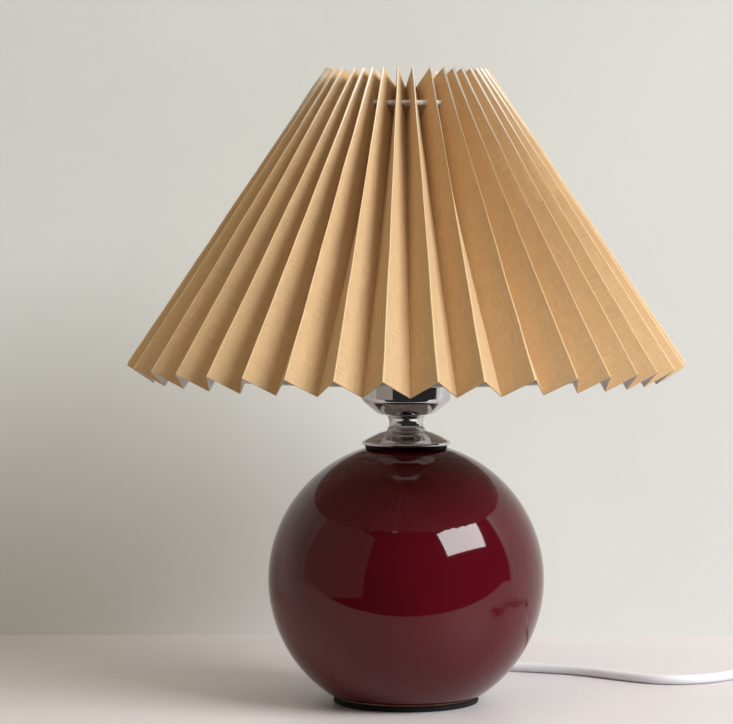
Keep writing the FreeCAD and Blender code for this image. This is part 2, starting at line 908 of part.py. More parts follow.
def make_pleated_shade():
    """Panels of three or four pleats, which meet edge to edge in inward folds."""
    outer = fold_ends(0)
    inner = fold_ends(1)
    hole = Part.makeTorus(gather_radius, gather_wire_radius + gather_hole_clearance,
                          Vector(0, 0, shade_top - gather_drop))
    panels = []
    for index in range(panel_count):
        first, last = [2 * round(pleat_count * edge / panel_count) + 1
                       for edge in (index, index + 1)]
        folds = [fold % len(outer) for fold in range(first, last + 1)]
        panel = make_panel([outer[fold] for fold in folds],
                           [inner[fold] for fold in folds])
        panels.append(panel.cut(hole).Solids[0])
    return panels


def make_gathering_cord():
    return Part.makeTorus(gather_radius, gather_wire_radius,
                          Vector(0, 0, shade_top - gather_drop))


# Mains cord inside and behind the ball
def make_cord_bush():
    back = Vector(0, 1, 0)
    body = Part.makeCylinder(bush_radius, bush_collar_end - bush_start,
                             Vector(0, bush_start, cord_height), back)
    collar = Part.makeCylinder(bush_collar_radius, bush_collar_end - bush_start,
                               Vector(0, bush_start, cord_height), back)
    collar = collar.cut(Part.makeSphere(ball_radius, Vector(0, 0, ball_centre)))
    taper = Part.makeCone(bush_radius + bore_clearance, bush_tip_radius,
                          bush_tip - bush_collar_end,
                          Vector(0, bush_collar_end, cord_height), back)
    bore = Part.makeCylinder(cord_bore_radius, bush_tip,
                             Vector(0, bush_start - overrun, cord_height), back)
    return body.fuse(collar).fuse(taper).cut(bore).removeSplitter()


def make_cord_stop():
    back = Vector(0, 1, 0)
    body = Part.makeCylinder(stop_radius, stop_length,
                             Vector(0, stop_start, cord_height), back)
    bore = Part.makeCylinder(cord_bore_radius, stop_length + 2 * overrun,
                             Vector(0, stop_start - overrun, cord_height), back)
    return body.cut(bore)


def make_inner_cord():
    top = holder_base + holder_neck_height + sheath_spare_above
    return cord_along("inner cord", [(0, bush_tip, cord_height), (0, 0, cord_height),
                                     (0, 0, top)], inner_bend_radius)


# Switch in the cord
def switch_axis():
    """Middle of the switch on the table and its direction."""
    start = Vector(*lead_route[-1])
    turn = math.radians(switch_heading)
    along = Vector(math.cos(turn), math.sin(turn), 0)
    reach = switch_relief_length + switch_length / 2
    middle = start.add(along * reach)
    return Vector(middle.x, middle.y, 0), along


def in_switch(shape):
    """Place a piece made about the switch's own middle."""
    return placed(shape, switch_axis()[0], switch_heading)


def switch_case(low, high, edge, edge_height):
    """Outer form of one half of the case, its outer face's edges rounded."""
    half_length = switch_length / 2
    half_width = switch_width / 2
    body = block((-half_length, half_length), (-half_width, half_width), (low, high))
    upright = [e for e in body.Edges
               if abs(e.Vertexes[0].Z - e.Vertexes[1].Z) > edge]
    body = body.makeFillet(switch_corner_radius, upright)
    rim = [e for e in body.Edges
           if all(abs(v.Z - edge_height) < edge / 10 for v in e.Vertexes)]
    return body.makeFillet(edge, rim)


def switch_hollow(low, high):
    """Room inside the case, less the two screw columns."""
    half_length = switch_length / 2 - switch_wall
    half_width = switch_width / 2 - switch_wall
    room = block((-half_length, half_length), (-half_width, half_width), (low, high))
    upright = [e for e in room.Edges
               if abs(e.Vertexes[0].Z - e.Vertexes[1].Z) > switch_wall]
    room = room.makeFillet(switch_corner_radius - switch_wall, upright)
    for side in (-1, 1):
        room = room.cut(cylinder(switch_column_radius, low - overrun, high + overrun,
                                 side * switch_column_x, -side * switch_column_y))
    return room


def cord_channel():
    """Cord's way through both end walls."""
    reach = switch_length / 2 + overrun
    return Part.makeCylinder(cord_bore_radius, 2 * reach,
                             Vector(-reach, 0, switch_height / 2), Vector(1, 0, 0))


def screw_places():
    """Places of the two case screws."""
    return [(side * switch_column_x, -side * switch_column_y) for side in (-1, 1)]


def make_switch_base():
    middle = switch_height / 2
    body = switch_case(0, middle, switch_base_edge, 0)
    body = body.cut(switch_hollow(switch_wall, middle + overrun)).cut(cord_channel())
    for x, y in screw_places():
        body = body.cut(cylinder(switch_screw_radius, -overrun, middle + overrun, x, y))
        body = body.cut(cylinder(switch_screw_head_radius + bore_clearance, -overrun,
                                 2 * switch_screw_head_height, x, y))
    return in_switch(body)


def window_half_length():
    """Half length of the rocker's window, clear of its swing."""
    tilt = math.radians(rocker_tilt)
    height = switch_height + rocker_proud - rocker_pivot_height
    return (rocker_half_length * math.cos(tilt) + height * math.sin(tilt)
            + rocker_clearance)


def make_switch_cover():
    middle = switch_height / 2
    body = switch_case(middle, switch_height, switch_cover_edge, switch_height)
    body = body.cut(switch_hollow(middle - overrun, switch_height - switch_wall))
    body = body.cut(cord_channel())
    half = window_half_length()
    half_width = rocker_half_width + rocker_clearance
    for side in (-1, 1):
        face = half_width * side
        outer = (half_width + ear_thickness) * side
        body = body.fuse(block((-ear_half_length, ear_half_length),
                               (min(face, outer), max(face, outer)),
                               (rocker_pivot_height - ear_half_length,
                                switch_height - switch_wall)))
    body = body.cut(block((-half, half), (-half_width, half_width),
                          (middle, switch_height + overrun)))
    reach = half_width + ear_thickness
    body = body.cut(Part.makeCylinder(
        rocker_pin_radius + pivot_clearance, 2 * reach,
        Vector(0, -reach, rocker_pivot_height), Vector(0, 1, 0)))
    for x, y in screw_places():
        body = body.cut(cylinder(switch_screw_radius, middle - overrun,
                                 switch_screw_head_height + switch_screw_length, x, y))
    return in_switch(body.removeSplitter())


def make_switch_screws():
    screws = []
    low = switch_screw_head_height
    for x, y in screw_places():
        head = cylinder(switch_screw_head_radius, low, low + switch_screw_head_height,
                        x, y)
        shank = cylinder(switch_screw_radius, low, low + switch_screw_length, x, y)
        screws.append(in_switch(head.fuse(shank).removeSplitter()))
    return screws


def make_switch_reliefs():
    reliefs = []
    for side in (-1, 1):
        along = Vector(side, 0, 0)
        root = Vector(side * switch_length / 2, 0, switch_height / 2)
        cone = Part.makeCone(switch_relief_root_radius, switch_relief_tip_radius,
                             switch_relief_length, root, along)
        bore = Part.makeCylinder(cord_bore_radius, switch_relief_length + 2 * overrun,
                                 root.sub(along * overrun), along)
        reliefs.append(in_switch(cone.cut(bore)))
    return reliefs


def make_switch_cord_ends():
    ends = []
    for side in (-1, 1):
        along = Vector(side, 0, 0)
        start = Vector(side * (switch_length / 2 - switch_cord_inside), 0,
                       switch_height / 2)
        ends.append(in_switch(Part.makeCylinder(
            cord_radius, switch_cord_inside + switch_relief_length, start, along)))
    return ends


def make_switch_rocker():
    half = rocker_half_length
    low = rocker_pivot_height - rocker_below
    high = switch_height + rocker_proud
    nose = rocker_pin_radius
    outline = [(-half, high - rocker_below), (-half, high), (0, high - rocker_dip),
               (half, high), (half, high - rocker_below), (nose, low), (-nose, low)]
    points = [Vector(x, -rocker_half_width, z) for x, z in outline]
    face = Part.Face(Part.makePolygon(points + points[:1]))
    body = face.extrude(Vector(0, 2 * rocker_half_width, 0))
    reach = rocker_half_width + rocker_clearance + rocker_pin_reach * half_share
    pin = Part.makeCylinder(rocker_pin_radius, 2 * reach,
                            Vector(0, -reach, rocker_pivot_height), Vector(0, 1, 0))
    rocker = body.fuse(pin).removeSplitter()
    rocker.rotate(Vector(0, 0, rocker_pivot_height), Vector(0, 1, 0), -rocker_tilt)
    return in_switch(rocker)


def make_switch_contacts():
    """Two brass strips on the floor of the case, with upturned ends that nearly meet."""
    strips = []
    low = switch_wall
    half = contact_width / 2
    for side in (-1, 1):
        inner = side * contact_gap / 2
        outer = side * (contact_gap / 2 + contact_length)
        flat = block((min(inner, outer), max(inner, outer)), (-half, half),
                     (low, low + contact_thickness))
        lip_end = inner + side * contact_thickness
        lip = block((min(inner, lip_end), max(inner, lip_end)), (-half, half),
                    (low, low + contact_rise))
        strips.append(in_switch(flat.fuse(lip).removeSplitter()))
    return strips


def make_switch_wires():
    """Through wire beside the contacts, and the two ends of the switched wire."""
    inside = switch_length / 2 - switch_cord_inside
    level = switch_height / 2
    floor = switch_wall + contact_thickness + wire_radius
    strip_end = contact_gap / 2 + contact_length
    aside = contact_width / 2 + 2 * wire_radius
    wires = []
    sheath_end = inside - switch_cord_inside
    through = [(-inside, wire_spacing, level), (-sheath_end, wire_spacing, level),
               (-strip_end, aside, floor), (strip_end, aside, floor),
               (sheath_end, wire_spacing, level), (inside, wire_spacing, level)]
    wires.append(swept(rounded_route(through)[0], wire_radius))
    for side in (-1, 1):
        route = [(side * inside, -wire_spacing, level),
                 (side * sheath_end, -wire_spacing, level),
                 (side * strip_end, -wire_spacing, floor),
                 (side * (strip_end - contact_width), -wire_spacing, floor)]
        wires.append(swept(rounded_route(route)[0], wire_radius))
    return [in_switch(wire) for wire in wires]


# Coil of spare cord
def coil_place(turn):
    """Point of the coil's centreline after so many turns from its start."""
    inward = min(turn, coil_turns - turn)
    radius = coil_outer_radius - coil_step * inward
    start = coil_turns / 2 - coil_climb_turns / 2
    share = min(max((turn - start) / coil_climb_turns, 0), 1)
    angle = -2 * math.pi * turn
    return Vector(coil_centre[0] + radius * math.cos(angle),
                  coil_centre[1] + radius * math.sin(angle),
                  coil_height + coil_layer_step * share)


def coil_direction(turn):
    """Direction of the coil's centreline, evened out where it changes."""
    small = coil_turn_step
    if turn <= small:
        return coil_place(turn + small).sub(coil_place(turn)).normalize()
    if turn >= coil_turns - small:
        return coil_place(turn).sub(coil_place(turn - small)).normalize()
    return coil_place(turn + small).sub(coil_place(turn - small)).normalize()


def arc_between(start, control, end):
    """Circular arc whose end tangents meet at a control point."""
    half_chord = end.sub(start).Length / 2
    weight = half_chord / control.sub(start).Length
    middle = (start + end + control * (2 * weight)) * (1 / (2 + 2 * weight))
    return Part.Arc(start, middle, end).toShape()


def biarc(start, start_way, end, end_way):
    """Two tangent arcs between two points with given directions."""
    chord = end.sub(start)
    ways = start_way.add(end_way)
    twice = 2 * (1 - start_way.dot(end_way))
    across = chord.dot(ways)
    reach = (math.sqrt(across ** 2 + twice * chord.dot(chord)) - across) / twice
    first = start.add(start_way * reach)
    last = end.sub(end_way * reach)
    joint = (first + last) * half_share
    return [arc_between(start, first, joint), arc_between(joint, last, end)]


def coil_ends():
    """Outer ends of the coil's two straight ends, and the directions there."""
    start_way = coil_direction(0)
    end_way = coil_direction(coil_turns)
    start = coil_place(0).sub(start_way * cord_diameter)
    end = coil_place(coil_turns).add(end_way * cord_diameter)
    return start, start_way, end, end_way


def make_cord_coil():
    start, start_way, end, end_way = coil_ends()
    steps = round(coil_turns * coil_points_per_turn)
    turns = [coil_turns * step / steps for step in range(steps + 1)]
    edges = [line(start, coil_place(0))]
    for one, other in zip(turns, turns[1:]):
        edges += biarc(coil_place(one), coil_direction(one), coil_place(other),
                       coil_direction(other))
    edges.append(line(coil_place(coil_turns), end))
    path = Part.Wire(edges)
    tube = swept(path, cord_radius)
    share = tube.Volume / (math.pi * cord_radius ** 2 * path.Length)
    print("coil length %.1f" % path.Length, "volume share %.4f" % share,
          "least gap to itself %.2f" % self_gap(edges))
    return tube


def self_gap(edges):
    """Least gap between parts of the coil that lie half a turn or more apart."""
    samples = []
    length = 0
    for edge in edges:
        for step in range(gap_points_per_edge):
            share = step / gap_points_per_edge
            samples.append((length + share * edge.Length,
                            edge.getParameterByLength(share * edge.Length), edge))
        length += edge.Length
    places = [(along, edge.valueAt(value)) for along, value, edge in samples]
    apart = math.pi * (coil_outer_radius - coil_step * coil_turns / 2)
    least = length
    for index, (along, place) in enumerate(places):
        for other_along, other in places[index + 1:]:
            if other_along - along > apart:
                least = min(least, place.distanceToPoint(other))
    return least - cord_diameter


def make_coil_ties():
    """Bands round all the turns; the coil rests on them."""
    ties = []
    margin = cord_radius + tie_clearance
    outer = tie_thickness
    for turn_share in tie_turn_shares:
        radii = [coil_outer_radius - coil_step * min(turn, coil_turns - turn)
                 for turn in [turn_share + n for n in range(int(coil_turns))]]
        low = min(radii) - margin - tie_width ** 2 / (4 * min(radii))
        high = max(radii) + margin + tie_clearance
        top = coil_height + coil_layer_step + margin
        half = tie_width / 2
        band = block((low - outer, high + outer), (-half, half), (0, top + outer))
        band = band.makeFillet(tie_corner_radius, [
            e for e in band.Edges
            if abs(e.Vertexes[0].Y - e.Vertexes[1].Y) > tie_width * half_share])
        room = block((low, high), (-half - overrun, half + overrun), (outer, top))
        room = room.makeFillet(tie_corner_radius - tie_thickness * half_share, [
            e for e in room.Edges
            if abs(e.Vertexes[0].Y - e.Vertexes[1].Y) > tie_width * half_share])
        heading = -full_turn * turn_share
        ties.append(placed(band.cut(room), (coil_centre[0], coil_centre[1], 0), heading))
    return ties


def make_cord_link():
    middle, along = switch_axis()
    reach = switch_length / 2 + switch_relief_length
    start = middle.add(along * reach).add(Vector(0, 0, switch_height / 2))
    end, way = coil_ends()[:2]
    points = [tuple(start)] + link_route + [tuple(end.sub(way * link_last_run)),
                                            tuple(end)]
    return cord_along("cord link", points)


def make_cord_tail():
    start, way = coil_ends()[2:]
    points = [tuple(start), tuple(start.add(way * tail_first_run))] + tail_route
    return cord_along("cord tail", points)


# Plug
def in_plug(shape):
    """Place a piece made along +X from the plug's cord end."""
    x, y = tail_route[-1][:2]
    return placed(shape, (x, y, 0), plug_heading)


def pin_front():
    """Distance from the cord end to the plug's front face."""
    return plug_relief_length + plug_length


def make_pins():
    pins = []
    front = pin_front()
    ahead = Vector(1, 0, 0)
    for side in (-1, 1):
        y = side * pin_spacing / 2
        shank = Part.makeCylinder(pin_shank_radius, pin_root + pin_sleeve_length,
                                  Vector(front - pin_root, y, plug_height / 2), ahead)
        tip = Part.makeCylinder(pin_radius, pin_length - pin_sleeve_length,
                                Vector(front + pin_sleeve_length, y, plug_height / 2),
                                ahead)
        ends = [e for e in tip.Edges
                if e.BoundBox.XMin > front + pin_length - pin_radius / 2]
        tip = tip.makeChamfer(pin_chamfer, ends)
        pins.append(shank.fuse(tip).removeSplitter())
    return pins


def make_plug_body():
    root = plug_relief_length
    front = pin_front()
    half = plug_width / 2
    neck = plug_neck_width / 2
    waist = root + plug_length * plug_waist_share
    shoulder = root + plug_length * plug_shoulder_share
    side = [(root, neck), (waist, neck + (half - neck) / 4), (shoulder, half),
            (front, half - plug_edge)]
    points = [Vector(x, y, 0) for x, y in side]
    points += [Vector(x, -y, 0) for x, y in reversed(side)]
    face = Part.Face(Part.makePolygon(points + points[:1]))
    body = face.extrude(Vector(0, 0, plug_height))
    flat_edges = [e for e in body.Edges
                  if abs(e.Vertexes[0].Z - e.Vertexes[1].Z) < plug_edge
                  and e.BoundBox.XMax < front + plug_edge]
    body = body.makeFillet(plug_edge, flat_edges)
    relief = Part.makeCone(plug_relief_tip_radius, plug_relief_radius,
                           root + plug_edge, Vector(0, 0, plug_height / 2),
                           Vector(1, 0, 0))
    body = body.fuse(relief)
    for pin in make_pins():
        body = body.cut(pin)
    return in_plug(body.removeSplitter())


def make_pin_sleeves():
    sleeves = []
    front = pin_front()
    for side in (-1, 1):
        place = Vector(front, side * pin_spacing / 2, plug_height / 2)
        ahead = Vector(1, 0, 0)
        sleeve = Part.makeCylinder(pin_sleeve_radius, pin_sleeve_length, place, ahead)
        shank = Part.makeCylinder(pin_shank_radius, pin_sleeve_length, place, ahead)
        sleeves.append(in_plug(sleeve.cut(shank)))
    return sleeves


def build():
    """All nodes by name."""
    low_ring, high_ring = [make_frame_ring(height) for height in ring_heights()]
    fitter = make_fitter_ring()
    nodes = {
        "foot_pad": make_foot_pad(),
        "base_plate": make_base_plate(),
        "ceramic_ball": make_ceramic_ball(),
        "threaded_tube": make_threaded_tube(),
        "inner_washer": make_inner_washer(),
        "inner_nut": make_inner_nut(),
        "neck_gasket": make_neck_gasket(),
        "neck_cap": make_neck_cap(),
        "neck_spool": make_neck_spool(),
        "holder_cup": make_holder_cup(),
        "cup_nut": make_cup_nut(),
        "holder_cap": make_holder_cap(),
        "holder_sleeve": make_holder_sleeve(),
        "holder_core": make_holder_core(),
        "contact_rivets": make_contact_rivets(),
        "screw_shell": make_screw_shell(),
        "centre_contact": make_centre_contact(),
        "terminals": make_terminals(),
        "terminal_screws": make_terminal_screws(),
        "live_wire": make_wire(-1, -centre_rivet_offset),
        "neutral_wire": make_wire(1, shell_rivet_offset),
        "inner_cord": make_inner_cord(),
        "cord_bush": make_cord_bush(),
        "cord_stop": make_cord_stop(),
        "bulb_tip": make_bulb_tip(),
        "bulb_insulator": make_bulb_insulator(),
        "bulb_cap": make_bulb_cap(),
        "bulb_housing": make_bulb_housing(),
        "bulb_globe": make_bulb_globe(),
        "led_board": make_led_board(),
        "led_chips": make_led_chips(),
        "nut_washer": make_nut_washer(),
        "shade_nut": make_shade_nut(),
        "fitter_ring": fitter,
        "bottom_ring": low_ring,
        "top_ring": high_ring,
        "shade_ribs": make_ribs([low_ring, high_ring]),
        "shade_spokes": make_spokes([low_ring, fitter]),
        "pleated_shade": make_pleated_shade(),
        "gathering_cord": make_gathering_cord(),
        "cord_lead": cord_along("cord lead", lead_route),
        "switch_base": make_switch_base(),
        "switch_cover": make_switch_cover(),
        "switch_rocker": make_switch_rocker(),
        "switch_screws": make_switch_screws(),
        "switch_reliefs": make_switch_reliefs(),
        "switch_cord_ends": make_switch_cord_ends(),
        "switch_contacts": make_switch_contacts(),
        "switch_wires": make_switch_wires(),
        "cord_link": make_cord_link(),
        "cord_coil": make_cord_coil(),
        "coil_ties": make_coil_ties(),
        "cord_tail": make_cord_tail(),
        "plug_body": make_plug_body(),
        "plug_pins": [in_plug(pin) for pin in make_pins()],
        "pin_sleeves": make_pin_sleeves(),
    }
    return nodes


def write(nodes):
    """One file for each node."""
    os.makedirs("parts", exist_ok=True)
    for name, shape in nodes.items():
        solids = shape if isinstance(shape, list) else shape.Solids
        sound = all(solid.isValid() and solid.Volume > 0 for solid in solids)
        body = solids[0] if len(solids) == 1 else Part.makeCompound(solids)
        body.exportStep("parts/" + name + ".step")
        print(name, "solids", len(solids), "sound" if sound else "FAULTY")


def print_joints():
    """Places that the record repeats."""
    middle, along = switch_axis()
    print("rocker pivot", middle.x, middle.y, rocker_pivot_height,
          "axis", -along.y, along.x)
    print("bulb rise", bulb_turns * bulb_thread_pitch)
    print("nut rise", nut_turns * nut_thread_pitch)
    print("shade top", shade_top, "globe base", globe_base())


write(build())
print_joints()
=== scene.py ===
"""Bedside lamp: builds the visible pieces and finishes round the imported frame, with a
plain studio stage. Settings are in metres; outlines and routes are in millimetres."""

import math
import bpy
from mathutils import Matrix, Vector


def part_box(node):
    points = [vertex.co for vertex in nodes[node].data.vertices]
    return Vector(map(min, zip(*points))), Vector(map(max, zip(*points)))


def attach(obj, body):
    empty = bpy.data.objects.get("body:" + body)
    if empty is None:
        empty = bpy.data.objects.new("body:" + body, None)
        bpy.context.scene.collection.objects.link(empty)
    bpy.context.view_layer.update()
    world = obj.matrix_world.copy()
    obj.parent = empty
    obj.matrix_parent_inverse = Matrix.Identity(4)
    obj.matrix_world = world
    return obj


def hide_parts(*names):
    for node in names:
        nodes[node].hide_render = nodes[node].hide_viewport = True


bl_info = {
    "name": "Bedside Lamp",
    "version": (1, 0, 0),
    "blender": (4, 5, 0),
    "location": "3D View > Sidebar > Lamp",
    "description": "Builds a bedside lamp with a pleated shade round its solid frame",
    "category": "Object",
}

import bmesh
import bpy
from mathutils import Matrix, Vector

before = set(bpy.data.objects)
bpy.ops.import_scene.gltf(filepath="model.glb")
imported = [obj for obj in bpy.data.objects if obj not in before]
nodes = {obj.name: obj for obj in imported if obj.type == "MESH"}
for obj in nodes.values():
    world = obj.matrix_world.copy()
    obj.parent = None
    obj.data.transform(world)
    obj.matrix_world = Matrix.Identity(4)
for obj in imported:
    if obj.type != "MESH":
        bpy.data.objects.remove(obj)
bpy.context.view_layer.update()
MM = 0.001
TURN = 2 * math.pi
UP = Vector((0, 0, 1))


def low(node):
    """Lowest height of a node, in millimetres."""
    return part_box(node)[0].z / MM


def high(node):
    """Highest height of a node, in millimetres."""
    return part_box(node)[1].z / MM


def radius(node):
    """Outer radius of a node that is round about the lamp's axis, in millimetres."""
    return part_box(node)[1].x / MM


# Heights and radii of the lamp
BALL_FOOT = low("ceramic_ball")
BALL_TOP = high("ceramic_ball")
BALL_RADIUS = 74.2
BALL_WALL = 5.0
FOOT_RADIUS = 40.6
BALL_CENTRE = BALL_FOOT + math.sqrt(BALL_RADIUS**2 - FOOT_RADIUS**2)
CAP_BASE = low("neck_cap")
CAP_HEIGHT = 8.5
SPOOL_BASE = CAP_BASE + CAP_HEIGHT
SPOOL_HEIGHT = 7.5
CUP_BASE = SPOOL_BASE + SPOOL_HEIGHT
SHADE_HIGH = high("pleated_shade")
SHADE_HEIGHT = 157.5
SHADE_LOW = SHADE_HIGH - SHADE_HEIGHT
PLEATS = 38
FRAME_WIRE = 1.5
BULB_PITCH = 3.629
HOLDER_PITCH = 2.5
CORD = 5.4
CORD_HEIGHT = 12.0


# Settings that a user would change
def length(name, default, description):
    """A length setting in metres."""
    return bpy.props.FloatProperty(
        name=name, description=description, default=default, unit="LENGTH", min=0.0)


def colour(name, default, description):
    """A colour setting."""
    return bpy.props.FloatVectorProperty(
        name=name, description=description, default=default, subtype="COLOR",
        size=3, min=0.0, max=1.0)


def power(name, default, description):
    """A setting for a light's power in watts."""
    return bpy.props.FloatProperty(
        name=name, description=description, default=default, min=0.0)


class LampShadeSettings(bpy.types.PropertyGroup):
    """Sizes and colours of the pleated shade."""
    bottom_radius: length("Bottom radius", 0.150, "Radius of the folds at the hem")
    top_radius: length("Top radius", 0.0436, "Radius of the folds at the top")
    face_width: length("Pleat face", 0.020, "Width of the linen between two folds")
    thickness: length("Thickness", 0.00045, "Linen and lining together")
    linen: colour("Linen", (0.645, 0.43, 0.232), "Outer face of the linen")
    lining: colour("Lining", (0.80, 0.79, 0.77), "Inner lining")
    # Fold colour: pale worn linen along the outward folds, and partly a painted highlight
    # where a rounded fold catches the light; the cut edges take it too.
    fold: colour("Fold", (0.84, 0.63, 0.36), "Worn edge of the folds")


class LampBaseSettings(bpy.types.PropertyGroup):
    """Finish of the glazed ball and the neck."""
    glaze: colour("Glaze", (0.082, 0.0028, 0.0072), "Burgundy glaze")
    chrome: colour("Chrome", (0.62, 0.61, 0.61), "Chrome plate")
    gloss: bpy.props.FloatProperty(
        name="Glaze roughness", description="Roughness of the glaze", default=0.045,
        min=0.0, max=1.0)


class LampCordSettings(bpy.types.PropertyGroup):
    """Size and colour of the mains cord and its fittings."""
    diameter: length("Diameter", CORD * MM, "Outer diameter of the mains cord")
    sheath: colour("Sheath", (0.78, 0.78, 0.82), "Sheath, switch and plug")


class LampStageSettings(bpy.types.PropertyGroup):
    """Floor, wall and lights."""
    floor: colour("Floor", (0.67, 0.63, 0.64), "Floor")
    wall: colour("Wall", (0.68, 0.69, 0.68), "Wall behind the lamp")
    key_power: power("Key light", 102.0, "Power of the key light in watts")
    fill_power: power("Fill light", 17.5, "Power of the fill lights in watts")


def settings(group):
    """One group of the scene's lamp settings."""
    return getattr(bpy.context.scene, group)


# Node trees
def sum_of(operation, swapped=False):
    """Method that puts a math node of one kind after two values."""
    def apply(one, other):
        return one.graph.math(operation, *((other, one) if swapped else (one, other)))
    return apply


class Value:
    """A node's output, with which sums can be written."""

    def __init__(self, graph, socket):
        self.graph = graph
        self.socket = socket

    __add__ = sum_of("ADD")
    __sub__ = sum_of("SUBTRACT")
    __rsub__ = sum_of("SUBTRACT", True)
    __mul__ = sum_of("MULTIPLY")
    __truediv__ = sum_of("DIVIDE")
    __rtruediv__ = sum_of("DIVIDE", True)


class Graph:
    """A node tree under construction."""

    def __init__(self, tree):
        self.tree = tree

    def feed(self, socket, value):
        """Give an input another node's output or a constant; None leaves it alone."""
        if isinstance(value, Value):
            self.tree.links.new(value.socket, socket)
        elif value is not None:
            socket.default_value = value

    def set(self, node, **named):
        """Set a node's properties, or its inputs by their names."""
        for key, value in named.items():
            if hasattr(node, key):
                setattr(node, key, value)
            else:
                self.feed(node.inputs[key.replace("_", " ")], value)

    def add(self, kind, *values, output=None, **named):
        """A new node's first output, or the named one; values fill its inputs."""
        node = self.tree.nodes.new(kind)
        self.set(node, **named)
        for socket, value in zip([s for s in node.inputs if s.enabled], values):
            self.feed(socket, value)
        return Value(self, node.outputs[output] if output
                     else next(s for s in node.outputs if s.enabled))

    def math(self, operation, *values):
        """Result of a math node."""
        return self.add("ShaderNodeMath", *values, operation=operation)

    def vector(self, operation, *values):
        """Result of a vector math node."""
        return self.add("ShaderNodeVectorMath", *values, operation=operation)


def shade_of(base, share):
    """A colour made darker or lighter by a share."""
    return tuple(min(1.0, channel * share) for channel in base)


class Finish(Graph):
    """A material under construction: a principled shader and what feeds it."""

    def __init__(self, name, base, rough, **sockets):
        self.material = bpy.data.materials.new(name)
        self.material.use_nodes = True
        self.material.diffuse_color = (*base, 1)
        super().__init__(self.material.node_tree)
        self.base = base
        self.shader = self.tree.nodes["Principled BSDF"]
        self.set(self.shader, Base_Color=(*base, 1), Roughness=rough, **sockets)

    def place(self, stretch=(1, 1, 1), source="Object"):
        """Coordinates stretched for a pattern."""
        coordinates = self.add("ShaderNodeTexCoord", output=source)
        return self.add("ShaderNodeMapping", Vector=coordinates, Scale=stretch)

    def speckle(self, size, stretch=(1, 1, 1), source="Object", detail=3.0,
                roughness=0.55):
        """Noise from 0 to 1."""
        return self.add("ShaderNodeTexNoise", Vector=self.place(stretch, source),
                        Scale=size, Detail=detail, Roughness=roughness)

    def ramp(self, value, start, end, to_start=0.0, to_end=1.0):
        """Value stretched from one range to another and held at its ends."""
        return self.add("ShaderNodeMapRange", value, start, end, to_start, to_end)

    def blend(self, share, one, other):
        """Colour between two; each is a colour or a value."""
        pair = [value if isinstance(value, Value) else (*value, 1)
                for value in (one, other)]
        return self.add("ShaderNodeMix", share, *pair, data_type="RGBA")

    def tone(self, share, one, other):
        """The base colour between two shades of it."""
        return self.blend(share, shade_of(self.base, one), shade_of(self.base, other))

    def done(self, tone, rough, height, depth, strength):
        """The material, fed with a colour, a roughness and a surface of some depth."""
        bump = self.add("ShaderNodeBump", Strength=strength, Distance=depth,
                        Height=height)
        self.set(self.shader, Base_Color=tone, Roughness=rough, Normal=bump)
        return self.material


# Finishes
def mottled(name, base, rough, scale=60.0, depth=0.00004, variation=0.06, **sockets):
    """Finish with slight variation of colour and roughness, and a fine surface."""
    finish = Finish(name, base, rough, **sockets)
    fine = finish.speckle(scale * 22, detail=2.0)
    return finish.done(
        finish.tone(finish.ramp(finish.speckle(scale), 0.3, 0.7), 1 - variation,
                    1 + variation),
        finish.ramp(fine, 0.25, 0.75, rough * 0.85, rough * 1.18), fine, depth, 0.35)


def glaze_finish(base):
    """Deep glaze: even colour, faint pooling, pinpricks and a barely wavy surface."""
    finish = Finish("burgundy_glaze", base.glaze, base.gloss, Specular_IOR_Level=0.34)
    pool = finish.ramp(finish.speckle(16.0, detail=2.0), 0.3, 0.7)
    pin = finish.ramp(finish.speckle(900.0, detail=1.0), 0.80, 0.86)
    tone = finish.blend(pin, finish.tone(pool, 0.9, 1.12), shade_of(base.glaze, 0.55))
    rough = finish.ramp(finish.speckle(45.0), 0.3, 0.7, base.gloss * 0.8,
                        base.gloss * 1.5)
    return finish.done(tone, rough, finish.speckle(55.0, detail=1.0), 0.00012, 0.12)


def chrome_finish(base):
    """Polished chrome with hairline wipe marks."""
    finish = Finish("polished_chrome", base.chrome, 0.06, Metallic=1.0)
    hair = finish.speckle(260.0, (1, 1, 14), detail=4.0)
    cloud = finish.speckle(70.0)
    return finish.done(finish.tone(finish.ramp(cloud, 0.35, 0.8), 1.0, 0.88),
                       finish.ramp(cloud, 0.3, 0.75, 0.035, 0.11), hair, 0.00002, 0.10)


def metal_finish(name, base, rough):
    """Plated or bare metal with fine drawn grain and slight tarnish."""
    finish = Finish(name, base, rough, Metallic=1.0)
    streak = finish.speckle(300.0, (1, 1, 18))
    tarnish = finish.ramp(finish.speckle(140.0, detail=4.0), 0.45, 0.8)
    return finish.done(finish.tone(tarnish, 1.0, 0.7),
                       finish.ramp(streak, 0.2, 0.8, rough * 0.75, rough * 1.35),
                       streak, 0.00003, 0.25)


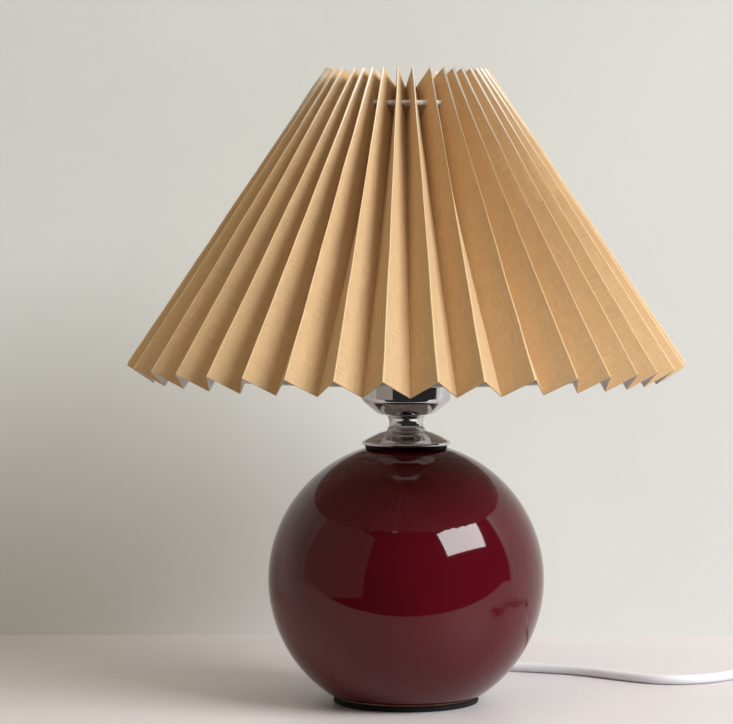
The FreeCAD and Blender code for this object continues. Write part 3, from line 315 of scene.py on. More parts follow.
def linen_finish(shade):
    """Plain-weave linen on its own UV map in metres, with pale folds: partly wear, and
    partly a painted highlight along each outward fold.
    """
    finish = Finish("tan_linen", shade.linen, 0.82, Sheen_Weight=0.12,
                    Sheen_Roughness=0.5, Specular_IOR_Level=0.25)
    place = finish.place(source="UV")
    across, along = (finish.add("ShaderNodeSeparateXYZ", place, output=axis)
                     for axis in "XY")
    thread_pitch = 0.00046
    thread = TURN / thread_pitch
    cloth = finish.math("SINE", across * thread) * finish.math("SINE", along * thread)
    slub = (finish.speckle(1.0, (90, 2600, 1), "UV", roughness=0.6)
            + finish.speckle(1.0, (2600, 90, 1), "UV", roughness=0.6))
    cloud = finish.ramp(finish.speckle(9.0, source="UV"), 0.3, 0.7, 0.0, 0.35)
    tone = finish.blend(cloud, finish.tone(finish.ramp(slub, 0.72, 1.3), 0.80, 1.20),
                        shade_of(shade.linen, 0.90))
    # Pale stripe along each outward fold: partly worn linen, and partly a painted
    # highlight where the rounded fold catches the light.
    pleat = finish.math("FRACT", across / (2 * shade.face_width) + 0.5)
    frayed = finish.speckle(1.0, (40, 220, 1), "UV", detail=2.0)
    worn_and_highlit_folds = finish.math("LESS_THAN", finish.math("ABSOLUTE", pleat - 0.5),
                       finish.ramp(frayed, 0.3, 0.7, 0.0165, 0.022))
    return finish.done(finish.blend(worn_and_highlit_folds * 0.85, tone, shade.fold), None,
                       cloth + slub * 2.2, 0.00006, 0.55)


def fibre_finish(name, base, rough, dark, size, detail, depth, strength, **sockets):
    """Paper or cotton with fibres on the piece's own UV map."""
    finish = Finish(name, base, rough, **sockets)
    fibre = finish.speckle(size, source="UV", detail=detail)
    return finish.done(finish.tone(finish.ramp(fibre, 0.3, 0.75), dark, 1.0), None, fibre,
                       depth, strength)


def lining_finish(name, base, rough=0.6):
    """Smooth paper-like lining with faint fibres."""
    return fibre_finish(name, base, rough, 0.93, 260.0, 5.0, 0.00003, 0.4,
                        Specular_IOR_Level=0.3)


def make_finishes():
    """All materials by slot name."""
    base = settings("lamp_base")
    cord = settings("lamp_cord")
    shade = settings("lamp_shade")
    return {
        "red_glaze": glaze_finish(base),
        "chrome": chrome_finish(base),
        "plated_steel": metal_finish("plated_steel", (0.55, 0.55, 0.56), 0.28),
        "bronzed_steel": metal_finish("bronzed_steel", (0.16, 0.11, 0.07), 0.34),
        "brass": metal_finish("drawn_brass", (0.74, 0.53, 0.22), 0.3),
        "black_felt": mottled("black_foot_pad", (0.009, 0.009, 0.010), 0.86, 240.0,
                              0.00025, 0.3, Sheen_Weight=0.04, Specular_IOR_Level=0.25),
        # Gasket: near-black rubber tinted burgundy; the tint is painted shade, like the
        # glaze in the shadow under the cap.
        "black_rubber": mottled("dark_gasket", (0.012, 0.003, 0.004), 0.6,
                                Specular_IOR_Level=0.1),
        "white_resin": mottled("white_resin", (0.74, 0.74, 0.72), 0.3),
        "steatite": mottled("steatite", (0.76, 0.74, 0.69), 0.62, 120.0, 0.0001, 0.05),
        "brown_insulation": mottled("brown_insulation", (0.11, 0.045, 0.02), 0.42),
        "blue_insulation": mottled("blue_insulation", (0.02, 0.09, 0.36), 0.42),
        "black_insulation": mottled("black_insulation", (0.02, 0.02, 0.02), 0.45),
        "white_cord": mottled("cord_sheath", cord.sheath, 0.36, 90.0, 0.00006, 0.02,
                              Subsurface_Weight=0.1, Subsurface_Scale=0.001),
        "clear_nylon": mottled("natural_nylon", (0.66, 0.67, 0.66), 0.32, 80.0, 0.00005,
                               0.04, Subsurface_Weight=0.3, Subsurface_Scale=0.001),
        "black_glass": mottled("cap_insulator", (0.012, 0.012, 0.016), 0.12),
        "opal": mottled("opal_globe", (0.83, 0.83, 0.81), 0.24, 40.0, 0.00002, 0.01,
                        Subsurface_Weight=0.35, Subsurface_Scale=0.003),
        "white_board": mottled("led_board", (0.72, 0.73, 0.73), 0.35),
        "yellow_phosphor": mottled("led_phosphor", (0.78, 0.55, 0.07), 0.3),
        "white_wire": mottled("coated_wire", (0.72, 0.70, 0.66), 0.38, 200.0, 0.00008,
                              0.05),
        "tan_linen": linen_finish(shade),
        "lining": lining_finish("white_lining", shade.lining),
        "cut_edge": lining_finish("cut_edge", shade.fold, 0.8),
        "white_string": fibre_finish("cotton_string", (0.80, 0.79, 0.78), 0.85, 0.82,
                                     1260.0, 3.0, 0.00008, 0.6, Sheen_Weight=0.2),
        "white_plastic": mottled("white_plastic", shade_of(cord.sheath, 0.84), 0.3, 70.0,
                                 0.00005, 0.02),
    }


finishes = {}


# Objects and meshes
def new_object(name, data):
    """Object with this data in the scene."""
    obj = bpy.data.objects.new(name, data)
    bpy.context.scene.collection.objects.link(obj)
    return obj


def new_piece(name, data, body, slot, *replaced):
    """Object for a finished mesh or curve in the lamp's frame, riding on its body."""
    obj = new_object(name, data)
    if not data.materials:
        data.materials.append(finishes[slot])
    if replaced:
        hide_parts(*replaced)
    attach(obj, body)
    return obj


def smooth(mesh, angle=40.0):
    """Smooth shading with sharp edges above an angle."""
    mesh.shade_smooth()
    mesh.set_sharp_from_angle(angle=math.radians(angle))
    return mesh


def mesh_from(bm, name, angle=32.0):
    """Mesh from a bmesh, doubles merged and faces turned outwards."""
    bmesh.ops.remove_doubles(bm, verts=bm.verts, dist=2e-7)
    bmesh.ops.recalc_face_normals(bm, faces=bm.faces)
    mesh = bpy.data.meshes.new(name)
    bm.to_mesh(mesh)
    bm.free()
    return smooth(mesh, angle)


def joined(name, *meshes):
    """One mesh from several with one material."""
    bm = bmesh.new()
    for mesh in meshes:
        bm.from_mesh(mesh)
    result = bpy.data.meshes.new(name)
    bm.to_mesh(result)
    bm.free()
    for material in meshes[0].materials:
        result.materials.append(material)
    return smooth(result)


def shift(x, y, z):
    """Matrix of a move in millimetres."""
    return Matrix.Translation(Vector((x, y, z)) * MM)


def spin(angle, axis="Z"):
    """Matrix of a turn in radians."""
    return Matrix.Rotation(angle, 4, axis)


def moved(mesh, matrix):
    """Mesh put in its place."""
    mesh.transform(matrix)
    return smooth(mesh)


def rounded(corners, steps):
    """Closed outline through (radius, height[, rounding]) corners, each cut by an arc."""
    straight, largest = 0.01, 0.48
    outline = []
    for index, corner in enumerate(corners):
        here = Vector(corner[:2])
        size = corner[2] if len(corner) > 2 else 0
        before = Vector(corners[index - 1][:2]) - here
        after = Vector(corners[(index + 1) % len(corners)][:2]) - here
        half = before.angle(after) / 2 if before.length and after.length else math.pi / 2
        if size <= 0 or abs(half - math.pi / 2) < straight:
            outline.append(here)
            continue
        back = min(size / math.tan(half), largest * before.length,
                   largest * after.length)
        first, last = here + before.normalized() * back, here + after.normalized() * back
        for step in range(steps + 1):
            share = step / steps
            outline.append((1 - share) ** 2 * first + 2 * share * (1 - share) * here
                           + share**2 * last)
    return outline


def arc(size, centre, start, end, count):
    """Points of a ball's outline from one height to another."""
    first, last = (math.asin(min(1.0, (height - centre) / size))
                   for height in (start, end))
    angles = [first + (last - first) * k / count for k in range(count + 1)]
    return [(size * math.cos(angle), centre + size * math.sin(angle)) for angle in angles]


def stepped(one, other, count):
    """Points from one (radius, height) to the other, the last left out; close enough
    together, they carry a thread."""
    return [(one[0] + (other[0] - one[0]) * step / count,
             one[1] + (other[1] - one[1]) * step / count) for step in range(count)]


def lathe(name, outline, base, segments, wave=None, angle=32.0):
    """Mesh turned from a closed outline of (radius, height) in millimetres."""
    bm = bmesh.new()
    rings = []
    for column in range(segments):
        turn = TURN * column / segments
        ring = []
        for reach, height in outline:
            height += base
            if wave:
                reach += wave(reach, height, turn)
            ring.append(bm.verts.new((reach * MM * math.sin(turn),
                                      -reach * MM * math.cos(turn), height * MM)))
        rings.append(ring)
    for ring, beside in zip(rings, rings[1:] + rings[:1]):
        for row in range(len(outline)):
            if max(outline[row - 1][0], outline[row][0]) >= 1e-6:
                bm.faces.new([ring[row - 1], beside[row - 1], beside[row], ring[row]])
    bmesh.ops.remove_doubles(bm, verts=bm.verts, dist=2e-7)
    bmesh.ops.dissolve_degenerate(bm, edges=bm.edges, dist=1e-7)
    return mesh_from(bm, name, angle)


def turned(name, node, slot, outline, base=0.0, segments=96, wave=None, body="lamp",
           angle=32.0):
    """Piece turned from an outline, in place of a node."""
    mesh = lathe(name, outline, base, segments, wave, angle)
    return new_piece(name, mesh, body, slot, node)


def screw_wave(nominal, start, end, pitch, depth, inward=True, tolerance=0.05):
    """Change of radius that cuts a rounded thread into one wall of a lathe mesh."""
    def wave(reach, height, turn):
        if abs(reach - nominal) > tolerance or not start <= height <= end:
            return 0.0
        fade = min(1.0, (height - start) / pitch, (end - height) / pitch)
        cut = depth * fade * (0.5 - 0.5 * math.cos(TURN * height / pitch - turn))
        return -cut if inward else cut
    return wave


def refined(node, slot, bevel=0.15, body="lamp"):
    """A node's own shape, merged, with softened edges and smooth shading."""
    angle = 28.0
    bm = bmesh.new()
    bm.from_mesh(nodes[node].data)
    bmesh.ops.remove_doubles(bm, verts=bm.verts, dist=1e-6)
    bmesh.ops.dissolve_limit(bm, angle_limit=math.radians(0.6), verts=bm.verts,
                             edges=bm.edges)
    if bevel:
        edges = [edge for edge in bm.edges
                 if edge.is_manifold and edge.calc_face_angle() > math.radians(angle)]
        bmesh.ops.bevel(bm, geom=edges, offset=bevel * MM, segments=2, profile=0.5,
                        affect="EDGES", clamp_overlap=True)
    bmesh.ops.triangulate(bm, faces=[f for f in bm.faces if len(f.verts) > 4])
    return new_piece(node + "_piece", mesh_from(bm, node + "_mesh", angle), body, slot,
                     node)


def tube_mesh(name, points, size, sides, closed=False):
    """Round tube along points in millimetres, with a UV map in metres."""
    bm = bmesh.new()
    layer = bm.loops.layers.uv.new("UVMap")
    count = len(points)
    rings = []
    normal = None
    travelled = [0.0]
    for index, point in enumerate(points):
        before = points[index - 1] if closed or index else point
        after = points[(index + 1) % count] if closed or index < count - 1 else point
        along = (after - before).normalized()
        if normal is None:
            normal = along.cross(UP if abs(along.z) < 0.9 else Vector((1, 0, 0)))
        normal = (normal - along * normal.dot(along)).normalized()
        side = along.cross(normal)
        angles = [TURN * k / sides for k in range(sides)]
        rings.append([bm.verts.new(MM * (point + size * (
            normal * math.cos(angle) + side * math.sin(angle)))) for angle in angles])
        travelled.append(travelled[-1] + (after - point).length * MM)
    around = TURN * size * MM / sides
    for index in range(count if closed else count - 1):
        ring, beside = rings[index], rings[(index + 1) % count]
        for k in range(sides):
            near = (k + 1) % sides
            face = bm.faces.new([ring[k], ring[near], beside[near], beside[k]])
            for loop, turn, step in zip(face.loops, (k, k + 1, k + 1, k), (0, 0, 1, 1)):
                loop[layer].uv = (turn * around, travelled[index + step])
    if not closed:
        bm.faces.new(rings[0][::-1])
        bm.faces.new(rings[-1])
    return mesh_from(bm, name, angle=50.0)


# Geometry node trees
class Tree(Graph):
    """A geometry node tree with named inputs, ending in a plain mesh."""

    def __init__(self, name):
        super().__init__(bpy.data.node_groups.new(name, "GeometryNodeTree"))
        self.sockets = {}
        for way in ("INPUT", "OUTPUT"):
            self.tree.interface.new_socket("Geometry", in_out=way,
                                           socket_type="NodeSocketGeometry")
        self.source = self.tree.nodes.new("NodeGroupInput")
        self.inputs("Material Material")

    def inputs(self, *kinds):
        """Named inputs of the tree, each given as its kind and its name."""
        values = []
        for kind, name in (text.split(" ", 1) for text in kinds):
            socket = self.tree.interface.new_socket(
                name, in_out="INPUT", socket_type="NodeSocket" + kind)
            self.sockets[name] = socket.identifier
            values.append(self.given(name))
        return values

    def given(self, name="Geometry"):
        """What the tree is given under a name."""
        return Value(self, self.source.outputs[name])

    def attribute(self, name):
        """A number stored on the points."""
        return self.add("GeometryNodeInputNamedAttribute", name, data_type="FLOAT")

    def between(self, share, one, other):
        """Point between two."""
        return self.add("ShaderNodeMix", share, one, other, data_type="VECTOR")

    def copies(self, points, **placing):
        """Copies of the given mesh on points, which end the tree."""
        self.finish(self.add("GeometryNodeInstanceOnPoints", Points=points,
                             Instance=self.given(), **placing))

    def finish(self, geometry):
        """Close the tree with real instances and the given material."""
        real = self.add("GeometryNodeRealizeInstances", geometry)
        self.set(self.tree.nodes.new("NodeGroupOutput"), Geometry=self.add(
            "GeometryNodeSetMaterial", Geometry=real, Material=self.given("Material")))


def plain_mesh(name, mesh, tree, values):
    """Mesh that a geometry node tree makes of another mesh."""
    carrier = new_object(name + "_carrier", mesh)
    modifier = carrier.modifiers.new(name, "NODES")
    modifier.node_group = tree.tree
    for key, value in values.items():
        modifier[tree.sockets[key]] = value
    graph = bpy.context.evaluated_depsgraph_get()
    result = bpy.data.meshes.new_from_object(carrier.evaluated_get(graph),
                                             depsgraph=graph)
    carrier.modifiers.remove(modifier)
    bpy.data.objects.remove(carrier)
    result.name = name
    return result


def ring_tree():
    """Copies of a mesh set evenly round the lamp's axis."""
    tree = Tree("repeat_round_axis")
    count, phase = tree.inputs("Int Count", "Float Phase")
    turn = tree.add("GeometryNodeInputIndex") * (TURN / count) + phase
    tree.copies(tree.add("GeometryNodePoints", count),
                Rotation=tree.add("ShaderNodeCombineXYZ", 0.0, 0.0, turn))
    return tree


def row_tree():
    """Copies of a mesh set evenly along a line, each smaller than the one before."""
    tree = Tree("repeat_along_line")
    count, step, shrink = tree.inputs("Int Count", "Vector Step", "Float Shrink")
    index = tree.add("GeometryNodeInputIndex")
    size = 1.0 - index * shrink
    points = tree.add("GeometryNodeSetPosition", Geometry=tree.add(
        "GeometryNodePoints", count), Offset=tree.vector("SCALE", step, index))
    tree.copies(points, Scale=tree.add("ShaderNodeCombineXYZ", 1.0, size, size))
    return tree


def repeated(name, mesh, count, phase, slot):
    """Mesh repeated round the lamp's axis; phase in degrees."""
    return smooth(plain_mesh(name, mesh, ring_tree(), {
        "Count": count, "Phase": math.radians(phase), "Material": finishes[slot]}))


class LampOperator(bpy.types.Operator):
    """Common part of the lamp's operators."""
    bl_options = {"REGISTER"}

    def execute(self, context):
        if not finishes:
            finishes.update(make_finishes())
        self.build()
        return {"FINISHED"}


# Foot and ball
class LAMP_OT_foot(LampOperator):
    """Build the foot pad and the base plate"""
    bl_idname = "lamp.foot"
    bl_label = "Foot"

    def build(self):
        edge, top = radius("foot_pad"), high("foot_pad")
        turned("pad_disc", "foot_pad", "black_felt", rounded([
            (0, 0), (edge, 0, 0.8), (edge, top, 0.5), (0, top)], 5), segments=128)
        rim = radius("base_plate")
        turned("plate_disc", "base_plate", "bronzed_steel", rounded([
            (0, 5), (25, 5, 0.8), (26, 3, 0.8), (rim, 3, 0.3), (rim, 4, 0.4),
            (27, 4, 0.8), (26, 6, 0.8), (0, 6)], 4), segments=128)


class LAMP_OT_ball(LampOperator):
    """Build the glazed ball"""
    bl_idname = "lamp.ball"
    bl_label = "Glazed ball"

    def build(self):
        foot_round = 0.9
        bore, flat = 5.1, 21.4
        inner = BALL_RADIUS - BALL_WALL
        collar, collar_low = 16.0, BALL_TOP - 8
        outside = arc(BALL_RADIUS, BALL_CENTRE, BALL_FOOT + foot_round, BALL_TOP - 0.35,
                      count=96)
        inside = arc(inner, BALL_CENTRE, BALL_FOOT,
                     BALL_CENTRE + math.sqrt(inner**2 - collar**2), count=48)
        outline = ([(FOOT_RADIUS - foot_round, BALL_FOOT),
                    (FOOT_RADIUS - foot_round * 0.35, BALL_FOOT + foot_round * 0.25)]
                   + outside + [(flat, BALL_TOP), (bore, BALL_TOP), (bore, collar_low),
                                (collar - 1, collar_low), (collar, collar_low + 0.4)]
                   + inside[::-1])
        turned("glazed_ball", "ceramic_ball", "red_glaze", outline, segments=192,
               angle=28.0)


# Neck
class LAMP_OT_neck(LampOperator):
    """Build the chromed neck, its gasket and the tube and nuts inside"""
    bl_idname = "lamp.neck"
    bl_label = "Neck"

    def build(self):
        thick = CAP_BASE - BALL_TOP
        turned("gasket_ring", "neck_gasket", "black_rubber", rounded([
            (15.9, 0, 0.2), (21.9, 0, 0.25), (21.9, thick, 0.25), (15.9, thick, 0.2)], 3),
            BALL_TOP)
        turned("flared_cap", "neck_cap", "chrome", rounded([
            (5.1, 8.5, 0.2), (9.8, 8.5, 0.4), (10.4, 8.25, 0.3), (10.35, 7.75, 0.3),
            (11.0, 7.5, 0.5), (13.9, 6.75, 4), (17.2, 5.35, 6), (20.4, 3.8, 5),
            (22.7, 2.5, 0.8), (23.6, 2.1, 0.5), (23.8, 1.2, 0.6), (23.5, 0.2, 0.5),
            (21.9, 0.0, 0.3), (21.7, 1.1, 0.4), (16.3, 4.0, 5), (12.8, 5.6, 3),
            (10.4, 6.5, 0.5), (5.1, 6.5, 0.2)], 5), CAP_BASE, segments=128)
        turned("waisted_spool", "neck_spool", "chrome", rounded([
            (5.1, 0, 0.2), (10.2, 0, 0.3), (10.2, 0.45, 0.3), (9.6, 1.1, 0.8),
            (9.25, 2.1, 2), (9.2, 3.2, 3), (9.3, 4.6, 3), (9.7, 6.0, 2),
            (10.1, 6.8, 0.6), (10.3, 7.2, 0.2), (10.3, 7.5, 0.1), (5.1, 7.5, 0.2)], 5),
            SPOOL_BASE)
        turned("holder_cup_shell", "holder_cup", "chrome", rounded([
            (5.1, 0, 0.2), (10.3, 0, 0.4), (12.8, 0.3, 3), (15.4, 1.0, 1.6),
            (19.5, 4.1, 12), (23.2, 7.4, 2.2), (23.75, 8.35, 1.2), (24.0, 9.6, 1.6),
            (24.0, 43.6, 0.3), (23.9, 44, 0.15), (23.1, 44, 0.15), (23.0, 43.6, 0.3),
            (23.0, 9.8, 1.6), (22.75, 8.8, 1.2), (22.2, 7.9, 1.8), (14.9, 2.0, 1.6),
            (10.3, 1.0, 1), (5.1, 1.0, 0.2)], 6), CUP_BASE, segments=128)
        start, end = low("threaded_tube"), high("threaded_tube")
        wall = stepped((5.0, start + 0.4), (5.0, end - 0.4), int((end - start) * 8))
        turned("tube_with_thread", "threaded_tube", "plated_steel", [
            (3.9, start), (4.7, start), *wall, (5.0, end - 0.4), (4.7, end), (3.9, end)],
            segments=40, wave=screw_wave(5.0, start, end, pitch=1.0, depth=0.3))
        refined("inner_washer", "plated_steel")
        refined("inner_nut", "plated_steel", 0.4)
        refined("cup_nut", "plated_steel", 0.35)


# Lamp holder
class LAMP_OT_holder(LampOperator):
    """Build the lamp holder and its contacts"""
    bl_idname = "lamp.holder"
    bl_label = "Lamp holder"

    def build(self):
        start, end = high("holder_cap"), high("holder_sleeve")
        flange = high("holder_cup")
        outer, bore = 19.7, 15.2
        thread = stepped((outer, flange + 2), (outer, end - 0.8),
                         int((end - flange - 2.8) * 5))
        turned("sleeve_with_thread", "holder_sleeve", "white_resin", [
            (17.2, start), (outer - 0.2, start), (outer, start + 0.3), (outer, flange),
            (23.5, flange), (23.7, flange + 0.3), (23.7, flange + 1.7),
            (23.5, flange + 2), *thread, (outer, end - 0.8), (outer - 0.6, end),
            (14.5, end), (14.2, end - 0.4), (14.2, end - 2.8), (14.5, end - 3),
            (bore, end - 3), (bore, start + 3), (17.2, start + 3)],
            wave=screw_wave(outer, flange + 2, end, HOLDER_PITCH, depth=0.55))
        start, end = low("screw_shell"), high("screw_shell")
        rows = int((end - start) * 2.4)
        turned("shell_with_thread", "screw_shell", "brass", [
            (9.5, start), (13.6, start), (14.0, start + 0.4),
            *stepped((14.0, start + 1.2), (14.0, end), rows), (14.0, end),
            *stepped((13.6, end), (13.6, start + 1.2), rows), (13.6, start + 1.2),
            (13.3, start + 0.4), (9.5, start + 0.4)],
            segments=72, wave=screw_wave(13.8, start + 1.2, end, BULB_PITCH, depth=0.7,
                                         inward=False, tolerance=0.25))
        for node, slot, bevel in (
                ("holder_cap", "white_resin", 0.3), ("holder_core", "steatite", 0.3),
                ("contact_rivets", "brass", 0.2), ("centre_contact", "brass", 0.08),
                ("terminals", "brass", 0.2), ("terminal_screws", "plated_steel", 0.15),
                ("live_wire", "brown_insulation", 0),
                ("neutral_wire", "blue_insulation", 0)):
            refined(node, slot, bevel)


# Bulb
class LAMP_OT_bulb(LampOperator):
    """Build the bulb"""
    bl_idname = "lamp.bulb"
    bl_label = "Bulb"

    def build(self):
        globe_low, globe_high = low("bulb_globe"), high("bulb_globe")
        size = 22.5
        centre = globe_high - size
        skin = arc(size, centre, globe_low, globe_high, count=40)
        skin[-1] = (0, globe_high)
        share = (size - 1) / size
        inner = [(r * share, centre + (z - centre) * share) for r, z in skin]
        turned("opal_globe_shell", "bulb_globe", "opal",
               skin + [point for point in inner[::-1] if point[1] >= globe_low],
               body="bulb")
        housing = 18.5
        turned("bulb_body", "bulb_housing", "white_resin", rounded([
            (12.8, 0, 0.2), (13.9, 0, 0.3), (14.2, 1.4, 1), (15.4, 6.5, 8),
            (17.3, 12.2, 8), (19.3, 18.1, 0.4), (19.2, 18.5, 0.2), (17.9, 18.5, 0.2),
            (17.9, 16.6, 0.2), (17.2, 16.2, 1), (13.9, 6.5, 6), (12.8, 1.5, 1)], 6),
            globe_low - housing, body="bulb")
        start, end = low("bulb_cap"), high("bulb_cap")
        wall = stepped((13.2, start + 2.4), (13.2, end - 0.5), int((end - start) * 2.6))
        turned("cap_with_thread", "bulb_cap", "plated_steel", [
            (11.1, start), (11.5, start), (13.0, start + 1.9), *wall, (13.2, end - 0.5),
            (13.1, end), (12.7, end), (11.9, end - 3), (11.9, start + 2.6)],
            segments=72, body="bulb",
            wave=screw_wave(13.2, start + 2, end - 3, BULB_PITCH, depth=0.85))
        turned("glass_insulator", "bulb_insulator", "black_glass", rounded([
            (0, 0), (5.8, 0, 0.8), (11.4, 2.9, 0.5), (11.4, 3.0), (0, 3.0)], 4),
            low("bulb_insulator"), segments=64, body="bulb")
        turned("solder_tip", "bulb_tip", "plated_steel", rounded([
            (0, 0), (2.7, 0, 1.2), (4.5, 0.96, 1.2), (4.4, 1.6, 0.1), (0, 1.6)], 5),
            low("bulb_tip"), segments=48, body="bulb_lift")
        refined("led_board", "white_board", 0.1, "bulb")
        chip = bmesh.new()
        reach, side, thick = 10.74, 2.8, 0.7
        bmesh.ops.create_cube(chip, size=1)
        for vert in chip.verts:
            taper = side * (0.92 if vert.co.z > 0 else 1.0)
            vert.co = MM * Vector((reach + vert.co.x * taper, vert.co.y * taper,
                                   low("led_chips") + (vert.co.z + 0.5) * thick))
        mesh = repeated("phosphor_chips", mesh_from(chip, "chip"), count=8, phase=0,
                        slot="yellow_phosphor")
        new_piece("phosphor_chips", mesh, "bulb", "yellow_phosphor", "led_chips")


# Ring nut
class LAMP_OT_ring_nut(LampOperator):
    """Build the ring nut and its washer"""
    bl_idname = "lamp.ring_nut"
    bl_label = "Ring nut"

    def build(self):
        refined("nut_washer", "plated_steel", 0.15, "nut_lift")
        start, end = low("shade_nut"), high("shade_nut")
        grips, grip_depth, bore, rim = 20, 1.1, 20.0, 26.0
        wall = stepped((bore, end - 0.4), (bore, start + 0.4), int((end - start) * 4))
        outline = [(bore + 0.4, start), (25.2, start), (rim, start + 0.6),
                   *stepped((rim, start + 0.6), (rim, end - 0.9), 10), (rim, end - 0.9),
                   (25.0, end), (bore + 0.4, end), *wall, (bore, start + 0.4)]
        thread = screw_wave(bore, start, end, HOLDER_PITCH, depth=0.45, inward=False)

        def wave(reach, height, turn):
            """Thread in the bore and rounded finger grips outside."""
            if reach > rim - 0.5:
                return -grip_depth * max(0.0, math.cos(grips * turn)) ** 3
            return thread(reach, height, turn)
        turned("gripped_nut", "shade_nut", "white_resin", outline, segments=grips * 10,
               wave=wave, body="nut")


# Shade
GRID_NUMBERS = ("left_low", "left_high", "right_low", "right_high", "left_valley",
                "across", "up", "on_ridge")
# How far each outward fold stands from its even place at the hem and at the top, in
# pleats, from the left side over the front and round the back
HEM_SHIFTS = (
    -0.2, -0.2, -0.05, 0.0, 0.0, -0.05, -0.05, 0.0, 0.0, 0.1, 0.05, 0.15, 0.15,
    0.05, -0.05, -0.25, -0.25, -0.3, -0.15, -0.1, 0.0, 0.05, -0.05, 0.1, 0.0, 0.1,
    0.05, -0.1, 0.0, 0.1, -0.05, 0.05, 0.1, 0.0, -0.1, 0.05, 0.0, -0.1)
TOP_SHIFTS = (
    -0.1, -0.15, 0.1, 0.05, 0.3, 0.1, -0.15, -0.25, -0.15, -0.1, 0.25, 0.3, 0.15,
    0.0, 0.0, -0.1, -0.25, -0.2, 0.0, 0.15, -0.1, 0.1, 0.2, -0.1, 0.0, 0.15,
    -0.1, 0.0, 0.2, 0.1, -0.1, 0.1, 0.0, -0.15, 0.1, 0.15, -0.05, 0.0)
# Place of the first of them, in pleats from the middle of the front
FIRST_FOLD = 0.9667 - PLEATS / 4


def fold_length():
    """Length of the outward folds from the hem to the top, in metres."""
    shade = settings("lamp_shade")
    return math.hypot(shade.bottom_radius - shade.top_radius, SHADE_HEIGHT * MM)


def fold_turns(index):
    """Turns, in pleats, of a fold at the hem and at the top."""
    pleat = index // 2
    turns = []
    for shifts in (HEM_SHIFTS, TOP_SHIFTS):
        turn = pleat + shifts[pleat % PLEATS]
        if index % 2:
            turn = (turn + pleat + 1 + shifts[(pleat + 1) % PLEATS]) / 2
        turns.append(turn + FIRST_FOLD)
    return turns


def fold_grid():
    """Flat grid of the pleated strip; each point holds the places of its face's folds."""
    rows = 36
    faces = 2 * PLEATS
    columns = [(face, share) for face in range(faces)
               for share in (0.0, 0.035, 0.26, 0.5, 0.74, 0.965)] + [(faces - 1, 1.0)]
    face_width, slant = settings("lamp_shade").face_width, fold_length()
    vertices, quads, uvs, table = [], [], [], []
    for face, share in columns:
        folds = (*fold_turns(face), *fold_turns(face + 1), face % 2, share)
        ridge = (face + share) % 2 == 0
        for row in range(rows + 1):
            vertices.append((face + share, row / rows, 0))
            table.append((*folds, row / rows, ridge))
    stride = rows + 1
    for column, sides in enumerate(zip(columns, columns[1:])):
        for row in range(rows):
            a = column * stride + row
            quads.append((a, a + stride, a + stride + 1, a + 1))
            for c, r in ((0, 0), (1, 0), (1, 1), (0, 1)):
                uvs += (sum(sides[c]) * face_width, (row + r) / rows * slant)
    mesh = bpy.data.meshes.new("fold_grid")
    mesh.from_pydata(vertices, [], quads)
    mesh.uv_layers.new(name="UVMap").data.foreach_set("uv", uvs)
    for name, values in zip(GRID_NUMBERS, zip(*table)):
        data = mesh.attributes.new(name, "FLOAT", "POINT").data
        data.foreach_set("value", [float(value) for value in values])
    return mesh


def pleat_tree():
    """Folds a flat grid into a cone of pleats."""
    tree = Tree("pleated_cone")
    count, bottom, top, hem, crown, width, softness, sway = tree.inputs(
        "Int Pleats", "Float Bottom Radius", "Float Top Radius", "Float Hem Height",
        "Float Top Height", "Float Face Width", "Float Fold Rounding", "Float Unevenness")
    slope_out, slope_up = bottom - top, crown - hem
    slant = tree.math("SQRT", slope_out * slope_out + slope_up * slope_up)
    inward, downward = slope_up / slant, slope_out / slant
    pitch = TURN / count

    def fold(side, valley):
        """A fold's point between the hem and the top; valleys lie deeper."""
        ends = []
        for level, reach, height in (("low", bottom, hem), ("high", top, crown)):
            chord = reach * (pitch / 2.0)
            deep = tree.math("SQRT", width * width - chord * chord) * valley
            radial = reach - deep * inward
            angle = tree.attribute(f"{side}_{level}") * pitch
            ends.append(tree.add(
                "ShaderNodeCombineXYZ", radial * tree.math("SINE", angle),
                radial * (tree.math("COSINE", angle) * -1.0), height - deep * downward))
        return tree.between(tree.attribute("up"), *ends)

    valley = tree.attribute("left_valley")
    place = tree.between(tree.attribute("across"), fold("left", valley),
                         fold("right", 1.0 - valley))
    outward = tree.vector("NORMALIZE", tree.vector("MULTIPLY", place, (1.0, 1.0, 0.0)))
    place = tree.vector("SUBTRACT", place, tree.vector(
        "SCALE", outward, tree.attribute("on_ridge") * softness))
    wander = tree.add("ShaderNodeTexNoise", Vector=place, Scale=34.0, Detail=1.0,
                      output="Color")
    wander = tree.vector("SUBTRACT", wander, (0.5, 0.5, 0.5))
    place = tree.vector("ADD", place, tree.vector("SCALE", wander, sway))
    tree.finish(tree.add("GeometryNodeSetPosition", Geometry=tree.given(),
                         Position=place))
    return tree


